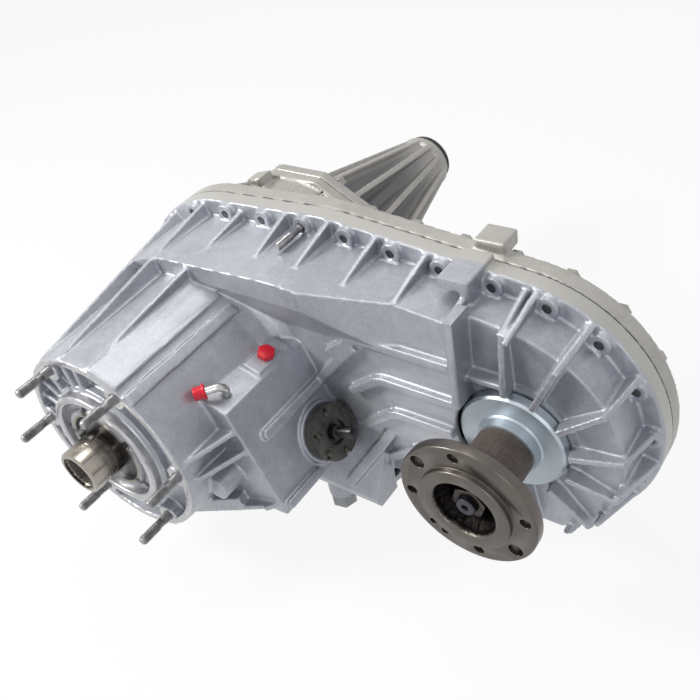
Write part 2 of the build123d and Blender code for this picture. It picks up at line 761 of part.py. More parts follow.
with BuildPart() as input_bearing:
    bearing(bearing_bore + run, bearing_outer, bearing_front, bearing_width)
export(input_bearing, "input_bearing")
with BuildPart() as main_shaft_bearing:
    bearing(tail_bearing_bore + run, rear_bearing_outer, rear_bearing_front, rear_bearing_width)
export(main_shaft_bearing, "main_shaft_bearing")
with BuildPart() as front_output_bearing:
    bearing(output_shaft_journal + run, output_bearing_outer, seal_front + seal_width,
            output_bearing_width, centre_distance)
export(front_output_bearing, "front_output_bearing")
with BuildPart() as front_output_rear_bearing:
    bearing(output_shaft + run, output_rear_outer, output_rear_bearing, output_rear_width, centre_distance)
export(front_output_rear_bearing, "front_output_rear_bearing")
with BuildPart() as front_output_seal:
    ring(hub_radius + run, seal_outer, seal_front, seal_front + seal_width - 1, centre_distance)
export(front_output_seal, "front_output_seal")

# Open snap ring behind the main shaft bearing
with BuildPart() as bearing_snap_ring:
    ring(rear_bearing_outer - 4, rear_bearing_outer, rear_bearing_front + rear_bearing_width,
         rear_bearing_front + rear_bearing_width + snap_ring)
    plate([(-4, 0), (4, 0), (4, 80), (-4, 80)], rear_bearing_front, tail_face, mode=Mode.SUBTRACT)
export(bearing_snap_ring, "bearing_snap_ring")


def gear_outline(teeth, add, ded, slack):
    """Corner points of a toothed disc with involute flanks, a tooth centred on +X."""
    pitch = gear_module * teeth / 2
    pressure = math.radians(20)
    base = pitch * math.cos(pressure)
    levels = [pitch - ded + (ded + add) * step / 3 for step in range(4)]
    flank = []
    for radius in levels:
        lean = math.acos(min(1.0, base / radius))
        half = math.pi / (2 * teeth) - slack / pitch + math.tan(pressure) - pressure
        flank.append((radius, half - (math.tan(lean) - lean)))
    points = []
    for tooth in range(teeth):
        middle = 2 * math.pi * tooth / teeth
        for radius, half in flank:
            points.append((radius * math.cos(middle - half), radius * math.sin(middle - half)))
        for radius, half in reversed(flank):
            points.append((radius * math.cos(middle + half), radius * math.sin(middle + half)))
    return points


def toothed(points, front, rear, x=0.0, z=0.0, mode=Mode.ADD, turn=0.0):
    """Toothed disc or hole between two Y."""
    lean = math.radians(turn)
    base = Plane(origin=(x, front, z), x_dir=(math.cos(lean), 0, math.sin(lean)), z_dir=(0, -1, 0))
    with BuildSketch(base) as section:
        with BuildLine():
            Polyline(*points, close=True)
        make_face()
    extrude(section.sketch, amount=front - rear, mode=mode)


def spline_outline(radius, teeth, depth):
    """Corner points of straight sided splines standing depth above radius."""
    points = []
    for tooth in range(teeth):
        for share, reach in ((-0.29, radius), (-0.18, radius + depth), (0.18, radius + depth), (0.29, radius)):
            angle = 2 * math.pi * (tooth + share) / teeth
            points.append((reach * math.cos(angle), reach * math.sin(angle)))
    return points


# Studs of the input face and the one long stud of the rim
with BuildPart() as input_studs:
    rods(stud_radius, -stud_proud + 2, 0, stud_places)
    rods(stud_root, 0, stud_depth, stud_places)
    rods(stud_radius - 1.2, -stud_proud, -stud_proud + 2, stud_places)
export(input_studs, "input_studs")

with BuildPart() as rim_stud:
    rod(bolt_radius, rim_front - pad_proud - long_stud_proud, rim_rear, *bolt_places[long_stud_step])
    rod(bolt_radius + 2.5, rim_rear, rim_rear + 6, *bolt_places[long_stud_step])
export(rim_stud, "rim_stud")

# Bolts of the rim, put in from the rear, and dowels between the halves
with BuildPart() as case_bolts:
    plain_bolts = [place for step, place in enumerate(bolt_places) if step != long_stud_step]
    rods(bolt_radius, rim_front - pad_proud + 0.5, rim_rear, plain_bolts)
    with BuildSketch(face_at(rim_rear)) as heads:
        with Locations(*plain_bolts):
            RegularPolygon(bolt_head / 2, 6, major_radius=False)
    extrude(heads.sketch, amount=-8)
export(case_bolts, "case_bolts")

with BuildPart() as case_dowels:
    rods(dowel_radius, split - dowel_half + 0.5, split + dowel_half - 0.5, dowel_places)
export(case_dowels, "case_dowels")

with BuildPart() as tail_bolts:
    rods(bolt_radius, tail_face - tail_bolt_depth + 1, tail_face + tail_flange_thick, tail_bolt_places)
    with BuildSketch(face_at(tail_face + tail_flange_thick)) as heads:
        with Locations(*tail_bolt_places):
            RegularPolygon(bolt_head / 2, 6, major_radius=False)
    extrude(heads.sketch, amount=-8)
export(tail_bolts, "tail_bolts")

# Input shaft: sleeve, bearing journal and the bore that holds the splines
with BuildPart() as input_shaft:
    turned([(0, sleeve_front), (sleeve_radius - 1.5, sleeve_front), (sleeve_radius, sleeve_front + 1.5),
            (sleeve_radius, sleeve_groove), (sleeve_radius - 0.8, sleeve_groove),
            (sleeve_radius - 0.8, sleeve_groove + 2), (sleeve_radius, sleeve_groove + 2),
            (sleeve_radius, bearing_front - 1.5), (bearing_bore + 3, bearing_front - 1.5),
            (bearing_bore + 3, bearing_front - run), (bearing_bore, bearing_front - run),
            (bearing_bore, bearing_front + bearing_width + run), (sun_pitch - 7, bearing_front + bearing_width + run),
            (sun_pitch - 7, gear_front), (0, gear_front)])
    rod(sleeve_bore + spline_wall, sleeve_front - 1, spline_rear, mode=Mode.SUBTRACT)
    rod(pilot_shaft + run, shaft_front - 4, gear_front + 1, mode=Mode.SUBTRACT)
export(input_shaft, "input_shaft")

with BuildPart() as input_splines:
    rod(sleeve_bore + spline_wall - fit, spline_front, spline_rear)
    toothed(spline_outline(sleeve_bore - spline_depth, 26, spline_depth), spline_front - 1,
            spline_rear + 1, mode=Mode.SUBTRACT)
export(input_splines, "input_splines")

# Sun gear and the inner ring that the range collar takes
with BuildPart() as sun_gear:
    toothed(gear_outline(sun_teeth, sun_add, gear_ded, gear_slack), gear_front, gear_rear)
    rod(clutch_radius + 4, gear_rear, high_ring_rear)
    rod(pilot_shaft + run, gear_front - 1, gear_rear + 4, mode=Mode.SUBTRACT)
    rod(clutch_radius + run, gear_rear + 4, high_ring_rear + 1, mode=Mode.SUBTRACT)
export(sun_gear, "sun_gear")

# Fixed ring gear, pressed into the bell
with BuildPart() as ring_gear:
    rod(ring_outer, gear_front, gear_rear)
    toothed(gear_outline(ring_teeth, gear_ded, ring_add, -gear_slack), gear_front - 1, gear_rear + 1,
            mode=Mode.SUBTRACT, turn=180 / ring_teeth)
export(ring_gear, "ring_gear")

# Planet carrier: two plates, webs between the planets, and the ring that the low range locks
with BuildPart() as planet_carrier:
    ring(sun_pitch + 6, carrier_rim, carrier_front, carrier_front + carrier_plate)
    for index in range(planet_count):
        with BuildSketch(face_at(carrier_front)) as web:
            with PolarLocations(carrier_web, 1, start_angle=(index + 0.5) * 360 / planet_count):
                Rectangle(14, 22)
        extrude(web.sketch, amount=-(gear_rear + 2 + carrier_plate - carrier_front))
    ring(clutch_radius + 6, carrier_rim, gear_rear + 2, gear_rear + 2 + carrier_plate)
    ring(clutch_radius + 5, clutch_radius + 11, gear_rear + 2, low_front)
    ring(clutch_radius + run, clutch_radius + 11, low_front, low_front + clutch_width)
    rods(pin_radius + fit, carrier_front - 1, gear_rear + 20, planet_places, Mode.SUBTRACT)
export(planet_carrier, "planet_carrier")

with BuildPart() as planet_pins:
    rods(pin_radius, carrier_front, gear_rear + 2 + carrier_plate, planet_places)
export(planet_pins, "planet_pins")

for index, (x, z) in enumerate(planet_places):
    with BuildPart() as planet_gear:
        toothed(gear_outline(planet_teeth, gear_add, gear_ded, gear_slack), gear_front + run,
                gear_rear - run, x, z, turn=180 / planet_teeth + index * 360 / planet_count)
        rod(pin_radius + run, gear_front - 1, gear_rear + 1, x, z, Mode.SUBTRACT)
    export(planet_gear, f"planet_gear_{index + 1}")

# Main shaft, from its pilot in the input shaft to the splines in the tail
with BuildPart() as main_shaft:
    turned([(0, shaft_front), (pilot_shaft, shaft_front), (pilot_shaft, gear_rear + 6),
            (spline_shaft, gear_rear + 8), (spline_shaft, journal_front), (journal, journal_front),
            (journal, journal_rear), (pump_shaft, journal_rear), (pump_shaft, rear_bearing_front - run),
            (tail_bearing_bore, rear_bearing_front - run), (tail_bearing_bore, tone_front + tone_width),
            (tail_shaft - 2, tone_front + tone_width), (tail_shaft - 2, spline_start), (0, spline_start)])
    toothed(spline_outline(tail_shaft - 2, 24, 2), spline_start, shaft_end)
export(main_shaft, "main_shaft")

with BuildPart() as mode_hub:
    ring(spline_shaft + fit, mode_hub_radius - 1.6, mode_hub_front, mode_hub_rear)
    toothed(spline_outline(mode_hub_radius - 1.8, 24, 1.8), mode_hub_front, mode_hub_rear)
    rod(spline_shaft + fit, mode_hub_front - 1, mode_hub_rear + 1, mode=Mode.SUBTRACT)
export(mode_hub, "mode_hub")

with BuildPart() as tone_ring:
    toothed(spline_outline(tone_radius - 3, 24, 3), tone_front, tone_front + tone_width)
    rod(tail_bearing_bore + fit, tone_front - 1, tone_front + tone_width + 1, mode=Mode.SUBTRACT)
export(tone_ring, "tone_ring")

# Range collar: clutch teeth in front, neck, and the groove of its fork
with BuildPart() as range_collar:
    groove_half = fork_thick / 2 + fork_gap
    turned([(spline_shaft + run, low_front), (clutch_radius - 3, low_front),
            (clutch_radius - 3, low_front + clutch_width), (clutch_radius - 5, low_front + clutch_width),
            (clutch_radius - 5, range_groove_y - groove_half - 4),
            (range_groove_radius + collar_flange, range_groove_y - groove_half - 4),
            (range_groove_radius + collar_flange, range_groove_y - groove_half),
            (range_groove_radius, range_groove_y - groove_half),
            (range_groove_radius, range_groove_y + groove_half),
            (range_groove_radius + collar_flange, range_groove_y + groove_half),
            (range_groove_radius + collar_flange, range_groove_y + groove_half + 4),
            (spline_shaft + run, range_groove_y + groove_half + 4)])
    toothed(spline_outline(clutch_radius - 3.2, 24, 3.0), low_front + 0.5, low_front + clutch_width - 0.5)
    rod(spline_shaft + run, low_front - 1, low_front + clutch_width + 1, mode=Mode.SUBTRACT)
export(range_collar, "range_collar")

# Mode collar: slides on its hub and over the clutch ring of the drive sprocket
with BuildPart() as mode_collar:
    inner = mode_hub_radius + run
    turned([(inner, mode_hub_front), (mode_groove_radius + collar_flange, mode_hub_front),
            (mode_groove_radius + collar_flange, mode_groove_y - groove_half),
            (mode_groove_radius, mode_groove_y - groove_half), (mode_groove_radius, mode_groove_y + groove_half),
            (mode_groove_radius + collar_flange, mode_groove_y + groove_half),
            (mode_groove_radius + collar_flange, mode_groove_y + groove_half + 4),
            (mode_groove_radius, mode_groove_y + groove_half + 6), (mode_groove_radius, mode_collar_rear),
            (inner, mode_collar_rear)])
export(mode_collar, "mode_collar")


def sprocket(bore, axis_x):
    """Chain wheel with plain teeth and a smooth bore."""
    toothed(spline_outline(sprocket_radius, sprocket_teeth, sprocket_tooth), sprocket_front,
            sprocket_front + sprocket_width, axis_x)
    for side in (sprocket_front, sprocket_front + sprocket_width - 8):
        ring(bore + 10, sprocket_radius - 8, side, side + 8, axis_x, Mode.SUBTRACT)
    rod(bore, sprocket_front - 1, sprocket_front + sprocket_width + 1, axis_x, mode=Mode.SUBTRACT)


with BuildPart() as drive_sprocket:
    sprocket(journal + run, 0)
    ring(journal + run, mode_hub_radius - 1.6, clutch_ring_front, sprocket_front)
    toothed(spline_outline(mode_hub_radius - 1.8, 24, 1.8), clutch_ring_front, clutch_ring_front + 10)
    rod(journal + run, clutch_ring_front - 1, sprocket_front + 1, mode=Mode.SUBTRACT)
export(drive_sprocket, "drive_sprocket")

with BuildPart() as driven_sprocket:
    sprocket(output_spline + fit, centre_distance)
export(driven_sprocket, "driven_sprocket")

# Chain as one loop round both sprockets, notched outside between its links
with BuildPart() as drive_chain:
    chain_inner = sprocket_radius + sprocket_tooth + chain_gap
    for reach, kind in ((chain_inner + chain_thick, Mode.ADD), (chain_inner, Mode.SUBTRACT)):
        with BuildSketch(face_at(sprocket_front + 1)) as loop:
            with Locations((centre_distance / 2, 0)):
                SlotCenterToCenter(centre_distance, 2 * reach)
        extrude(loop.sketch, amount=2 - sprocket_width, mode=kind)
    pitch = centre_distance / chain_links
    for side in (-1, 1):
        with BuildSketch(face_at(sprocket_front)) as notches:
            with Locations((centre_distance / 2, side * (chain_inner + chain_thick))):
                with GridLocations(pitch, 1, chain_links, 1):
                    RegularPolygon(2.6, 4)
        extrude(notches.sketch, amount=-sprocket_width, mode=Mode.SUBTRACT)
export(drive_chain, "drive_chain")

# Front output: shaft, flange with its holes, nut, washer and dust shield
with BuildPart() as front_output_shaft:
    turned([(0, output_end_y), (output_thread - 1, output_end_y), (output_thread, output_end_y + 1),
            (output_thread, washer_rear), (output_shaft, washer_rear),
            (output_shaft, hub_rear + run), (output_shaft_journal, hub_rear + run),
            (output_shaft_journal, sprocket_front - 1), (output_spline, sprocket_front - 1),
            (output_spline, sprocket_front + sprocket_width + 4), (output_shaft, sprocket_front + sprocket_width + 4),
            (output_shaft, output_rear_bearing + output_rear_width - 1),
            (0, output_rear_bearing + output_rear_width - 1)], centre_distance)
    turned([(0, output_end_y - 1), (3.5, output_end_y - 1), (1.5, output_end_y + 5), (0, output_end_y + 5)],
           centre_distance, Mode.SUBTRACT)
export(front_output_shaft, "front_output_shaft")

with BuildPart() as output_flange:
    turned([(0, flange_front - flange_pilot_proud), (flange_pilot_radius - 1, flange_front - flange_pilot_proud),
            (flange_pilot_radius, flange_front - flange_pilot_proud + 1),
            (flange_pilot_radius, flange_front), (flange_radius - 1, flange_front),
            (flange_radius, flange_front + 1), (flange_radius, flange_front + flange_thick - 1),
            (flange_radius - 1, flange_front + flange_thick), (hub_radius + 6, flange_front + flange_thick),
            (hub_radius, flange_front + flange_thick + 8), (hub_radius, hub_rear), (0, hub_rear)],
           centre_distance)
    rod(output_shaft + fit, flange_front, hub_rear + 1, centre_distance, 0, Mode.SUBTRACT)
    turned([(0, flange_front - 10), (flange_bore + 1.5, flange_front - 10),
            (flange_bore + 1.5, flange_front - flange_pilot_proud), (flange_bore, flange_front - flange_pilot_proud + 1.5),
            (flange_bore - 1, flange_front + 3), (nut_bore, flange_front + flange_thick),
            (nut_bore, washer_rear), (0, washer_rear)],
           centre_distance, Mode.SUBTRACT)
    for angles, radius in ((threaded_angles, threaded_radius), (plain_angles, plain_radius),
                           (small_angles, small_radius)):
        for angle in angles:
            turn_up = math.radians(angle)
            rod(radius, flange_front - 1, flange_front + flange_thick + 1,
                centre_distance + hole_circle * math.cos(turn_up), hole_circle * math.sin(turn_up),
                Mode.SUBTRACT)
export(output_flange, "output_flange")

with BuildPart() as flange_nut:
    with BuildSketch(face_at(nut_front)) as hexagon:
        with Locations((centre_distance, 0)):
            RegularPolygon(nut_flats / 2, 6, major_radius=False, rotation=12)
    extrude(hexagon.sketch, amount=-(nut_thick - 4))
    rod(nut_collar, nut_front + nut_thick - 4, nut_front + nut_thick, centre_distance)
    rod(output_thread + fit, nut_front - 1, nut_front + nut_thick + 1, centre_distance, 0, Mode.SUBTRACT)
export(flange_nut, "flange_nut")

with BuildPart() as flange_washer:
    ring(output_thread + fit, nut_collar, nut_front + nut_thick, washer_rear, centre_distance)
export(flange_washer, "flange_washer")

with BuildPart() as dust_shield:
    shield_front = shield_rear - shield_thick
    turned([(hub_radius + fit, shield_front - shield_collar_length), (shield_collar, shield_front - shield_collar_length),
            (shield_collar, shield_front - 1.5), (shield_collar + 1.5, shield_front),
            (shield_radius - 2, shield_front), (shield_radius, shield_front + 2), (shield_radius, shield_rear),
            (shield_radius - 1.6, shield_rear), (shield_radius - 1.6, shield_front + 2.6),
            (hub_radius + fit, shield_front + 2.6)], centre_distance)
export(dust_shield, "dust_shield")

# Shift shaft with its housing on the box, its screws, and the cam plate inside
with BuildPart() as shift_housing:
    with BuildSketch(box_plane(box_face + housing_seat, housing_y, -housing_drop)) as disc:
        Circle(housing_radius)
    extrude(disc.sketch, amount=housing_proud - housing_seat)
    with BuildSketch(box_plane(box_face + housing_seat, housing_y, -housing_drop)) as spigot:
        Circle(spigot_radius)
    extrude(spigot.sketch, amount=-(wall + housing_seat + 2))
    with BuildSketch(box_plane(box_face + housing_proud, housing_y, -housing_drop)) as recess:
        Circle(recess_radius)
    extrude(recess.sketch, amount=-5, mode=Mode.SUBTRACT)
    with BuildSketch(box_plane(box_face + housing_proud, housing_y, -housing_drop)) as edge_notches:
        with PolarLocations(housing_radius - 1, housing_screws, start_angle=30):
            Rectangle(6, 4)
    extrude(edge_notches.sketch, amount=-3, mode=Mode.SUBTRACT)
    with BuildSketch(box_plane(box_face + housing_proud + 1, housing_y, -housing_drop)) as bore:
        Circle(sector_shaft_radius + run)
    extrude(bore.sketch, amount=-(housing_proud + wall + 10), mode=Mode.SUBTRACT)
    with BuildSketch(box_plane(box_face + housing_proud, housing_y, -housing_drop)) as screw_holes:
        with PolarLocations(housing_radius - 6, housing_screws, start_angle=30):
            Circle(2 + fit)
    extrude(screw_holes.sketch, amount=-8, mode=Mode.SUBTRACT)
export(shift_housing, "shift_housing")

with BuildPart() as shift_housing_screws:
    with BuildSketch(box_plane(box_face + housing_proud, housing_y, -housing_drop)) as shanks:
        with PolarLocations(housing_radius - 6, housing_screws, start_angle=30):
            Circle(2)
    extrude(shanks.sketch, amount=-7.5)
    with BuildSketch(box_plane(box_face + housing_proud, housing_y, -housing_drop)) as heads:
        with PolarLocations(housing_radius - 6, housing_screws, start_angle=30):
            Circle(2.6)
    extrude(heads.sketch, amount=1.2)
export(shift_housing_screws, "shift_housing_screws")

with BuildPart() as sector_shaft:
    with BuildSketch(box_plane(sector_plane, housing_y, -housing_drop)) as body:
        Circle(sector_shaft_radius)
    extrude(body.sketch, amount=box_face + housing_proud + 3 - sector_plane)
    with BuildSketch(box_plane(box_face + housing_proud + 3, housing_y, -housing_drop)) as flats:
        Circle(sector_shaft_radius - 1.5)
        Rectangle(9, 20, mode=Mode.INTERSECT)
    extrude(flats.sketch, amount=shaft_flats)
    with BuildSketch(box_plane(sector_plane, housing_y, -housing_drop)) as square:
        Rectangle(9, 9)
    extrude(square.sketch, amount=-4.5)
export(sector_shaft, "sector_shaft")


def cam_track(start, end):
    """Slot of the cam plate that moves a pin from start to end as the plate turns."""
    track = []
    for step in range(5):
        share = step / 4
        turn = math.radians(share * sector_turn)
        along = start + (end - start) * share
        track.append((along * math.cos(turn) - cam_pin_rise * math.sin(turn),
                      along * math.sin(turn) + cam_pin_rise * math.cos(turn)))
    return track


with BuildPart() as sector_plate:
    with BuildSketch(box_plane(sector_plane, housing_y, -housing_drop)) as shape:
        Circle(sector_shaft_radius + 6)
        for start, end in ((-pin_offset, -pin_offset - shift_travel), (pin_offset + shift_travel, pin_offset)):
            for spot in cam_track(start, end):
                with Locations(spot):
                    Circle(cam_pin + 5.5)
        make_hull()
        for start, end in ((-pin_offset, -pin_offset - shift_travel), (pin_offset + shift_travel, pin_offset)):
            with BuildLine():
                Spline(*cam_track(start, end))
            trace(line_width=2 * (cam_pin + fork_gap), mode=Mode.SUBTRACT)
            for spot in (cam_track(start, end)[0], cam_track(start, end)[-1]):
                with Locations(spot):
                    Circle(cam_pin + fork_gap, mode=Mode.SUBTRACT)
        Circle(sector_shaft_radius + fit, mode=Mode.SUBTRACT)
    extrude(shape.sketch, amount=sector_thick)
export(sector_plate, "sector_plate")

# Shift rail, fixed in both halves of the case
with BuildPart() as shift_rail:
    rod(rail_radius, rail_front, rail_rear - 1, rail_x, rail_z)
export(shift_rail, "shift_rail")

rail_reach = math.hypot(rail_x, rail_z)
rail_angle = math.degrees(math.atan2(rail_z, rail_x))


def fork(groove_y, groove_radius, hub_front, hub_rear, pin_y):
    """Fork on the rail: hub, half ring in the groove, arm and the pin that the cam plate moves."""
    rod(rail_radius + 5, hub_front, hub_rear, rail_x, rail_z)
    with BuildSketch(face_at(groove_y - fork_thick / 2)) as shape:
        Circle(groove_radius + collar_flange + 5)
        with Locations(Location((0, 0, 0), (0, 0, rail_angle))):
            with Locations((rail_reach / 2, 0)):
                Rectangle(rail_reach, 22)
        Circle(groove_radius + 0.5, mode=Mode.SUBTRACT)
        with Locations(Location((0, 0, 0), (0, 0, rail_angle))):
            with Locations((-100, 0)):
                Rectangle(200, 200, mode=Mode.SUBTRACT)
    extrude(shape.sketch, amount=-fork_thick)
    rod(rail_radius + run, hub_front - 1, hub_rear + 1, rail_x, rail_z, Mode.SUBTRACT)
    out_from = rail_x * box_out.X + rail_z * box_out.Z + rail_radius + 2
    rise = cam_pin_rise - housing_drop
    with BuildSketch(box_plane(out_from, pin_y, rise)) as post:
        Circle(cam_pin)
    extrude(post.sketch, amount=sector_plane + sector_thick - out_from)


with BuildPart() as range_fork:
    fork(range_groove_y, range_groove_radius, range_hub_front, range_hub_rear, housing_y - pin_offset)
export(range_fork, "range_fork")
with BuildPart() as mode_fork:
    fork(mode_groove_y, mode_groove_radius, mode_fork_front, mode_fork_rear,
         housing_y + pin_offset + shift_travel)
export(mode_fork, "mode_fork")

# Oil pump on the main shaft, its pickup, and the magnet on the floor of the case
with BuildPart() as oil_pump:
    ring(pump_shaft + run, pump_radius, pump_front, pump_rear)
    with Locations((0, 0, 0)):
        plate([(-12, -pump_radius + 4), (12, -pump_radius + 4), (9, -pump_radius - 8), (-9, -pump_radius - 8)],
              pump_front, pump_rear)
    rod(pump_port + fit, pump_front - 1, pump_rear - 6, 0, -pump_radius - 1, Mode.SUBTRACT)
export(oil_pump, "oil_pump")

with BuildPart() as oil_pickup:
    rod(pump_port, pump_front - 14, pump_rear - 6, 0, -pump_radius - 1)
    with BuildSketch(Plane.XY.offset(-pump_radius - 1)) as riser:
        with Locations((0, pump_front - 8)):
            Circle(pump_port - 1)
    extrude(riser.sketch, amount=-(pickup_drop + pump_port))
    with BuildSketch(Plane.XY.offset(-pump_radius - pump_port - 1 - pickup_drop)) as screen:
        with Locations((0, pump_front - 8)):
            Circle(pump_port + 8)
    extrude(screen.sketch, amount=-5)
export(oil_pickup, "oil_pickup")

with BuildPart() as magnet:
    rod(10, rear_wall - wall - 6, rear_wall - wall, magnet_x, magnet_z)
export(magnet, "magnet")

# Vent tube with its cap, port plug, drain plug and fill plug
with BuildPart() as vent_tube:
    with BuildLine() as route:
        base = vent_plane.origin
        tip = vent_plane.z_dir
        along = Vector(-0.62, -0.78, 0).normalized()
        FilletPolyline(base - tip * 8, base + tip * vent_rise, base + tip * vent_rise + along * vent_reach, radius=8)
    with BuildSketch(Plane(origin=base - tip * 8, z_dir=tip)) as bore_section:
        Circle(vent_radius)
        Circle(vent_radius - 0.9, mode=Mode.SUBTRACT)
    sweep(path=route.line)
export(vent_tube, "vent_tube")

with BuildPart() as vent_cap:
    tube_end = base + tip * vent_rise + along * vent_reach
    with BuildSketch(Plane(origin=tube_end - along * 8, z_dir=along)) as cap_body:
        Circle(vent_radius + 2.2)
    extrude(amount=10.5)
    with BuildSketch(Plane(origin=tube_end - along * 8, z_dir=along)) as cap_lip:
        Circle(vent_radius + 3.6)
    extrude(amount=2)
    with BuildSketch(Plane(origin=tube_end - along * 8, z_dir=along)) as cap_bore:
        Circle(vent_radius + fit)
    extrude(amount=8 + fit, mode=Mode.SUBTRACT)
export(vent_cap, "vent_cap")

with BuildPart() as port_cap:
    with BuildSketch(port_plane.offset(port_pad)) as head:
        RegularPolygon(8.5, 6)
    extrude(amount=5)
    with BuildSketch(port_plane.offset(port_pad)) as stem:
        Circle(port_radius)
    extrude(amount=-8)
export(port_cap, "port_cap")

with BuildPart() as drain_plug:
    with BuildSketch(Plane.XY.offset(drain_top)) as thread:
        with Locations((drain_x, drain_y)):
            Circle(drain_thread)
    extrude(amount=14)
    with BuildSketch(Plane.XY.offset(drain_top)) as hexagon:
        with Locations((drain_x, drain_y)):
            RegularPolygon(12, 6, major_radius=False, rotation=10)
    extrude(amount=-15)
export(drain_plug, "drain_plug")

with BuildPart() as fill_plug:
    rod(fill_thread, rear_wall - wall + 1, rear_wall, fill_x, fill_z)
    with BuildSketch(face_at(rear_wall)) as hexagon:
        with Locations((fill_x, fill_z)):
            RegularPolygon(12, 6, major_radius=False)
    extrude(hexagon.sketch, amount=-10)
export(fill_plug, "fill_plug")
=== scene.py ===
import json
import math

import bpy
from mathutils import Matrix, Vector


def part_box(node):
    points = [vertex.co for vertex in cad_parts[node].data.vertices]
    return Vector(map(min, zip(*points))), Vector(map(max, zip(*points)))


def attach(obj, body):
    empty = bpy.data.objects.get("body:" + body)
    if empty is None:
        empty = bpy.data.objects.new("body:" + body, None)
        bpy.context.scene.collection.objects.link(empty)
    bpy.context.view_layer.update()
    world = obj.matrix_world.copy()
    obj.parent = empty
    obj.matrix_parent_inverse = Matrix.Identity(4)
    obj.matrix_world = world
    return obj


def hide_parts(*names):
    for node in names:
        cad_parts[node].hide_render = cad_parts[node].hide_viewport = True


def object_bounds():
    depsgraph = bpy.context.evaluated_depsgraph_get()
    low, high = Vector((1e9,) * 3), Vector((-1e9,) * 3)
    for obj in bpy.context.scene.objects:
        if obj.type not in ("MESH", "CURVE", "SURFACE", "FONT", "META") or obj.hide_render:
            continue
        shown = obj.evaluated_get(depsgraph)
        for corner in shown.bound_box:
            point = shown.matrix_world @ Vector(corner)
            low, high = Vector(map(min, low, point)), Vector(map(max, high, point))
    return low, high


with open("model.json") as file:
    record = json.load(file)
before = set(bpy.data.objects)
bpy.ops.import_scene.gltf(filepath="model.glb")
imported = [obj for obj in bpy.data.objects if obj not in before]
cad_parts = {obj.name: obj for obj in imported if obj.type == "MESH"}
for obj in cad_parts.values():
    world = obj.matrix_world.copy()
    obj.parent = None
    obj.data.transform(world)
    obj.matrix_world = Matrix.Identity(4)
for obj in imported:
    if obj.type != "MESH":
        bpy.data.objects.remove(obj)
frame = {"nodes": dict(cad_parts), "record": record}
cad_low, cad_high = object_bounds()

BODY_OF = {node: body for body, nodes in frame["record"]["behaviour"]["bodies"].items() for node in nodes}

# Places on the case, in metres, as the solids have them
OUTPUT_X = 0.323
RIM_REAR = 0.245
TAIL_FACE = 0.322
STUD_CIRCLE = 0.0872
STUD_RADIUS = 0.00475
STUD_TIP = -0.035
PAD_FRONT = 0.205
SPLIT = 0.228
FLANGE_FRONT = 0.0803
HUB_FRONT = 0.0975
RECESS_RADIUS = 0.0278
BOX_TILT = math.radians(20.0)
BOX_OUT = Vector((math.cos(BOX_TILT), 0.0, math.sin(BOX_TILT)))
BOX_UP = Vector((-math.sin(BOX_TILT), 0.0, math.cos(BOX_TILT)))
WEB_LEAN = math.radians(11.5)
PILOT_RADIUS = 0.0626
BORE_RADIUS = 0.0183
FIN_TOP = 0.084
FIN_START = 0.330
FIN_FALL = 0.223
FIN_COUNT = 12
FLUTE_LIP = 0.002
FLUTE_FLOOR = 0.060
FLUTE_END = 0.546
TAIL_END_RADIUS = 0.0345
TAIL_MOUTH = 0.5550
FLUTE_TOP = FIN_TOP - FLUTE_LIP
FLUTE_WALL = 0.008
FLUTE_END_WALL = 0.012
RIM_TRIM = 0.2128
BAND = (0.0388, 0.0398)
STUD_ROOT = 0.004
STUD_WAIST = (-0.0135, -0.0075)
STUD_PITCH = 0.0015
STUD_COUNT = 6
VIEW_CENTRE = Vector((0.15, 0.15, 0.0))

# Grain of the castings: voxel size in metres and rounds of smoothing
FRONT_VOXEL, REAR_VOXEL, TAIL_VOXEL = ((0.0013, 0.0015, 0.0015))
SMOOTHING = 2

# Edge colour: partly wear, partly painted highlight
WORN_EDGE_AND_PAINTED_HIGHLIGHT = (0.64, 0.64, 0.64)
# Corner colour: painted shade
CORNER_PAINTED_SHADE = (0.20, 0.205, 0.22)
CUT_LIGHT = (0.56, 0.56, 0.57)
CUT_DARK = (0.44, 0.44, 0.45)
JOINT_LINE = (0.09, 0.09, 0.10)
WHITE = (1, 1, 1, 1)


# ---------------------------------------------------------------- finishes

class Value:
    """A number that changes over a surface. Python's operators add the Math nodes."""

    def __init__(self, nodes, socket):
        self.nodes, self.socket = nodes, socket

    def math(self, operation, *others):
        values = {index: other for index, other in enumerate((self, *others))}
        made = self.nodes.node("ShaderNodeMath", {"operation": operation}, values)
        return Value(self.nodes, made.outputs[0])

    def __add__(self, other):
        return self.math("ADD", other)

    def __sub__(self, other):
        return self.math("SUBTRACT", other)

    def __mul__(self, other):
        return self.math("MULTIPLY", other)

    def __rsub__(self, other):
        return (self * -1.0) + other

    __radd__, __rmul__ = __add__, __mul__

    def root(self):
        return self.math("SQRT")

    def most(self, other):
        return self.math("MAXIMUM", other)

    def between(self, low, high):
        """0 at low, 1 at high, smooth in between, also where low is above high."""
        made = self.nodes.node(
            "ShaderNodeMapRange", {"interpolation_type": "SMOOTHSTEP"},
            {"Value": self, "From Min": low, "From Max": high})
        return Value(self.nodes, made.outputs["Result"])

    def inside(self, low, high, soft):
        """1 between low and high, fading to 0 over soft on either side."""
        return self.between(low - soft, low) * self.between(high + soft, high)


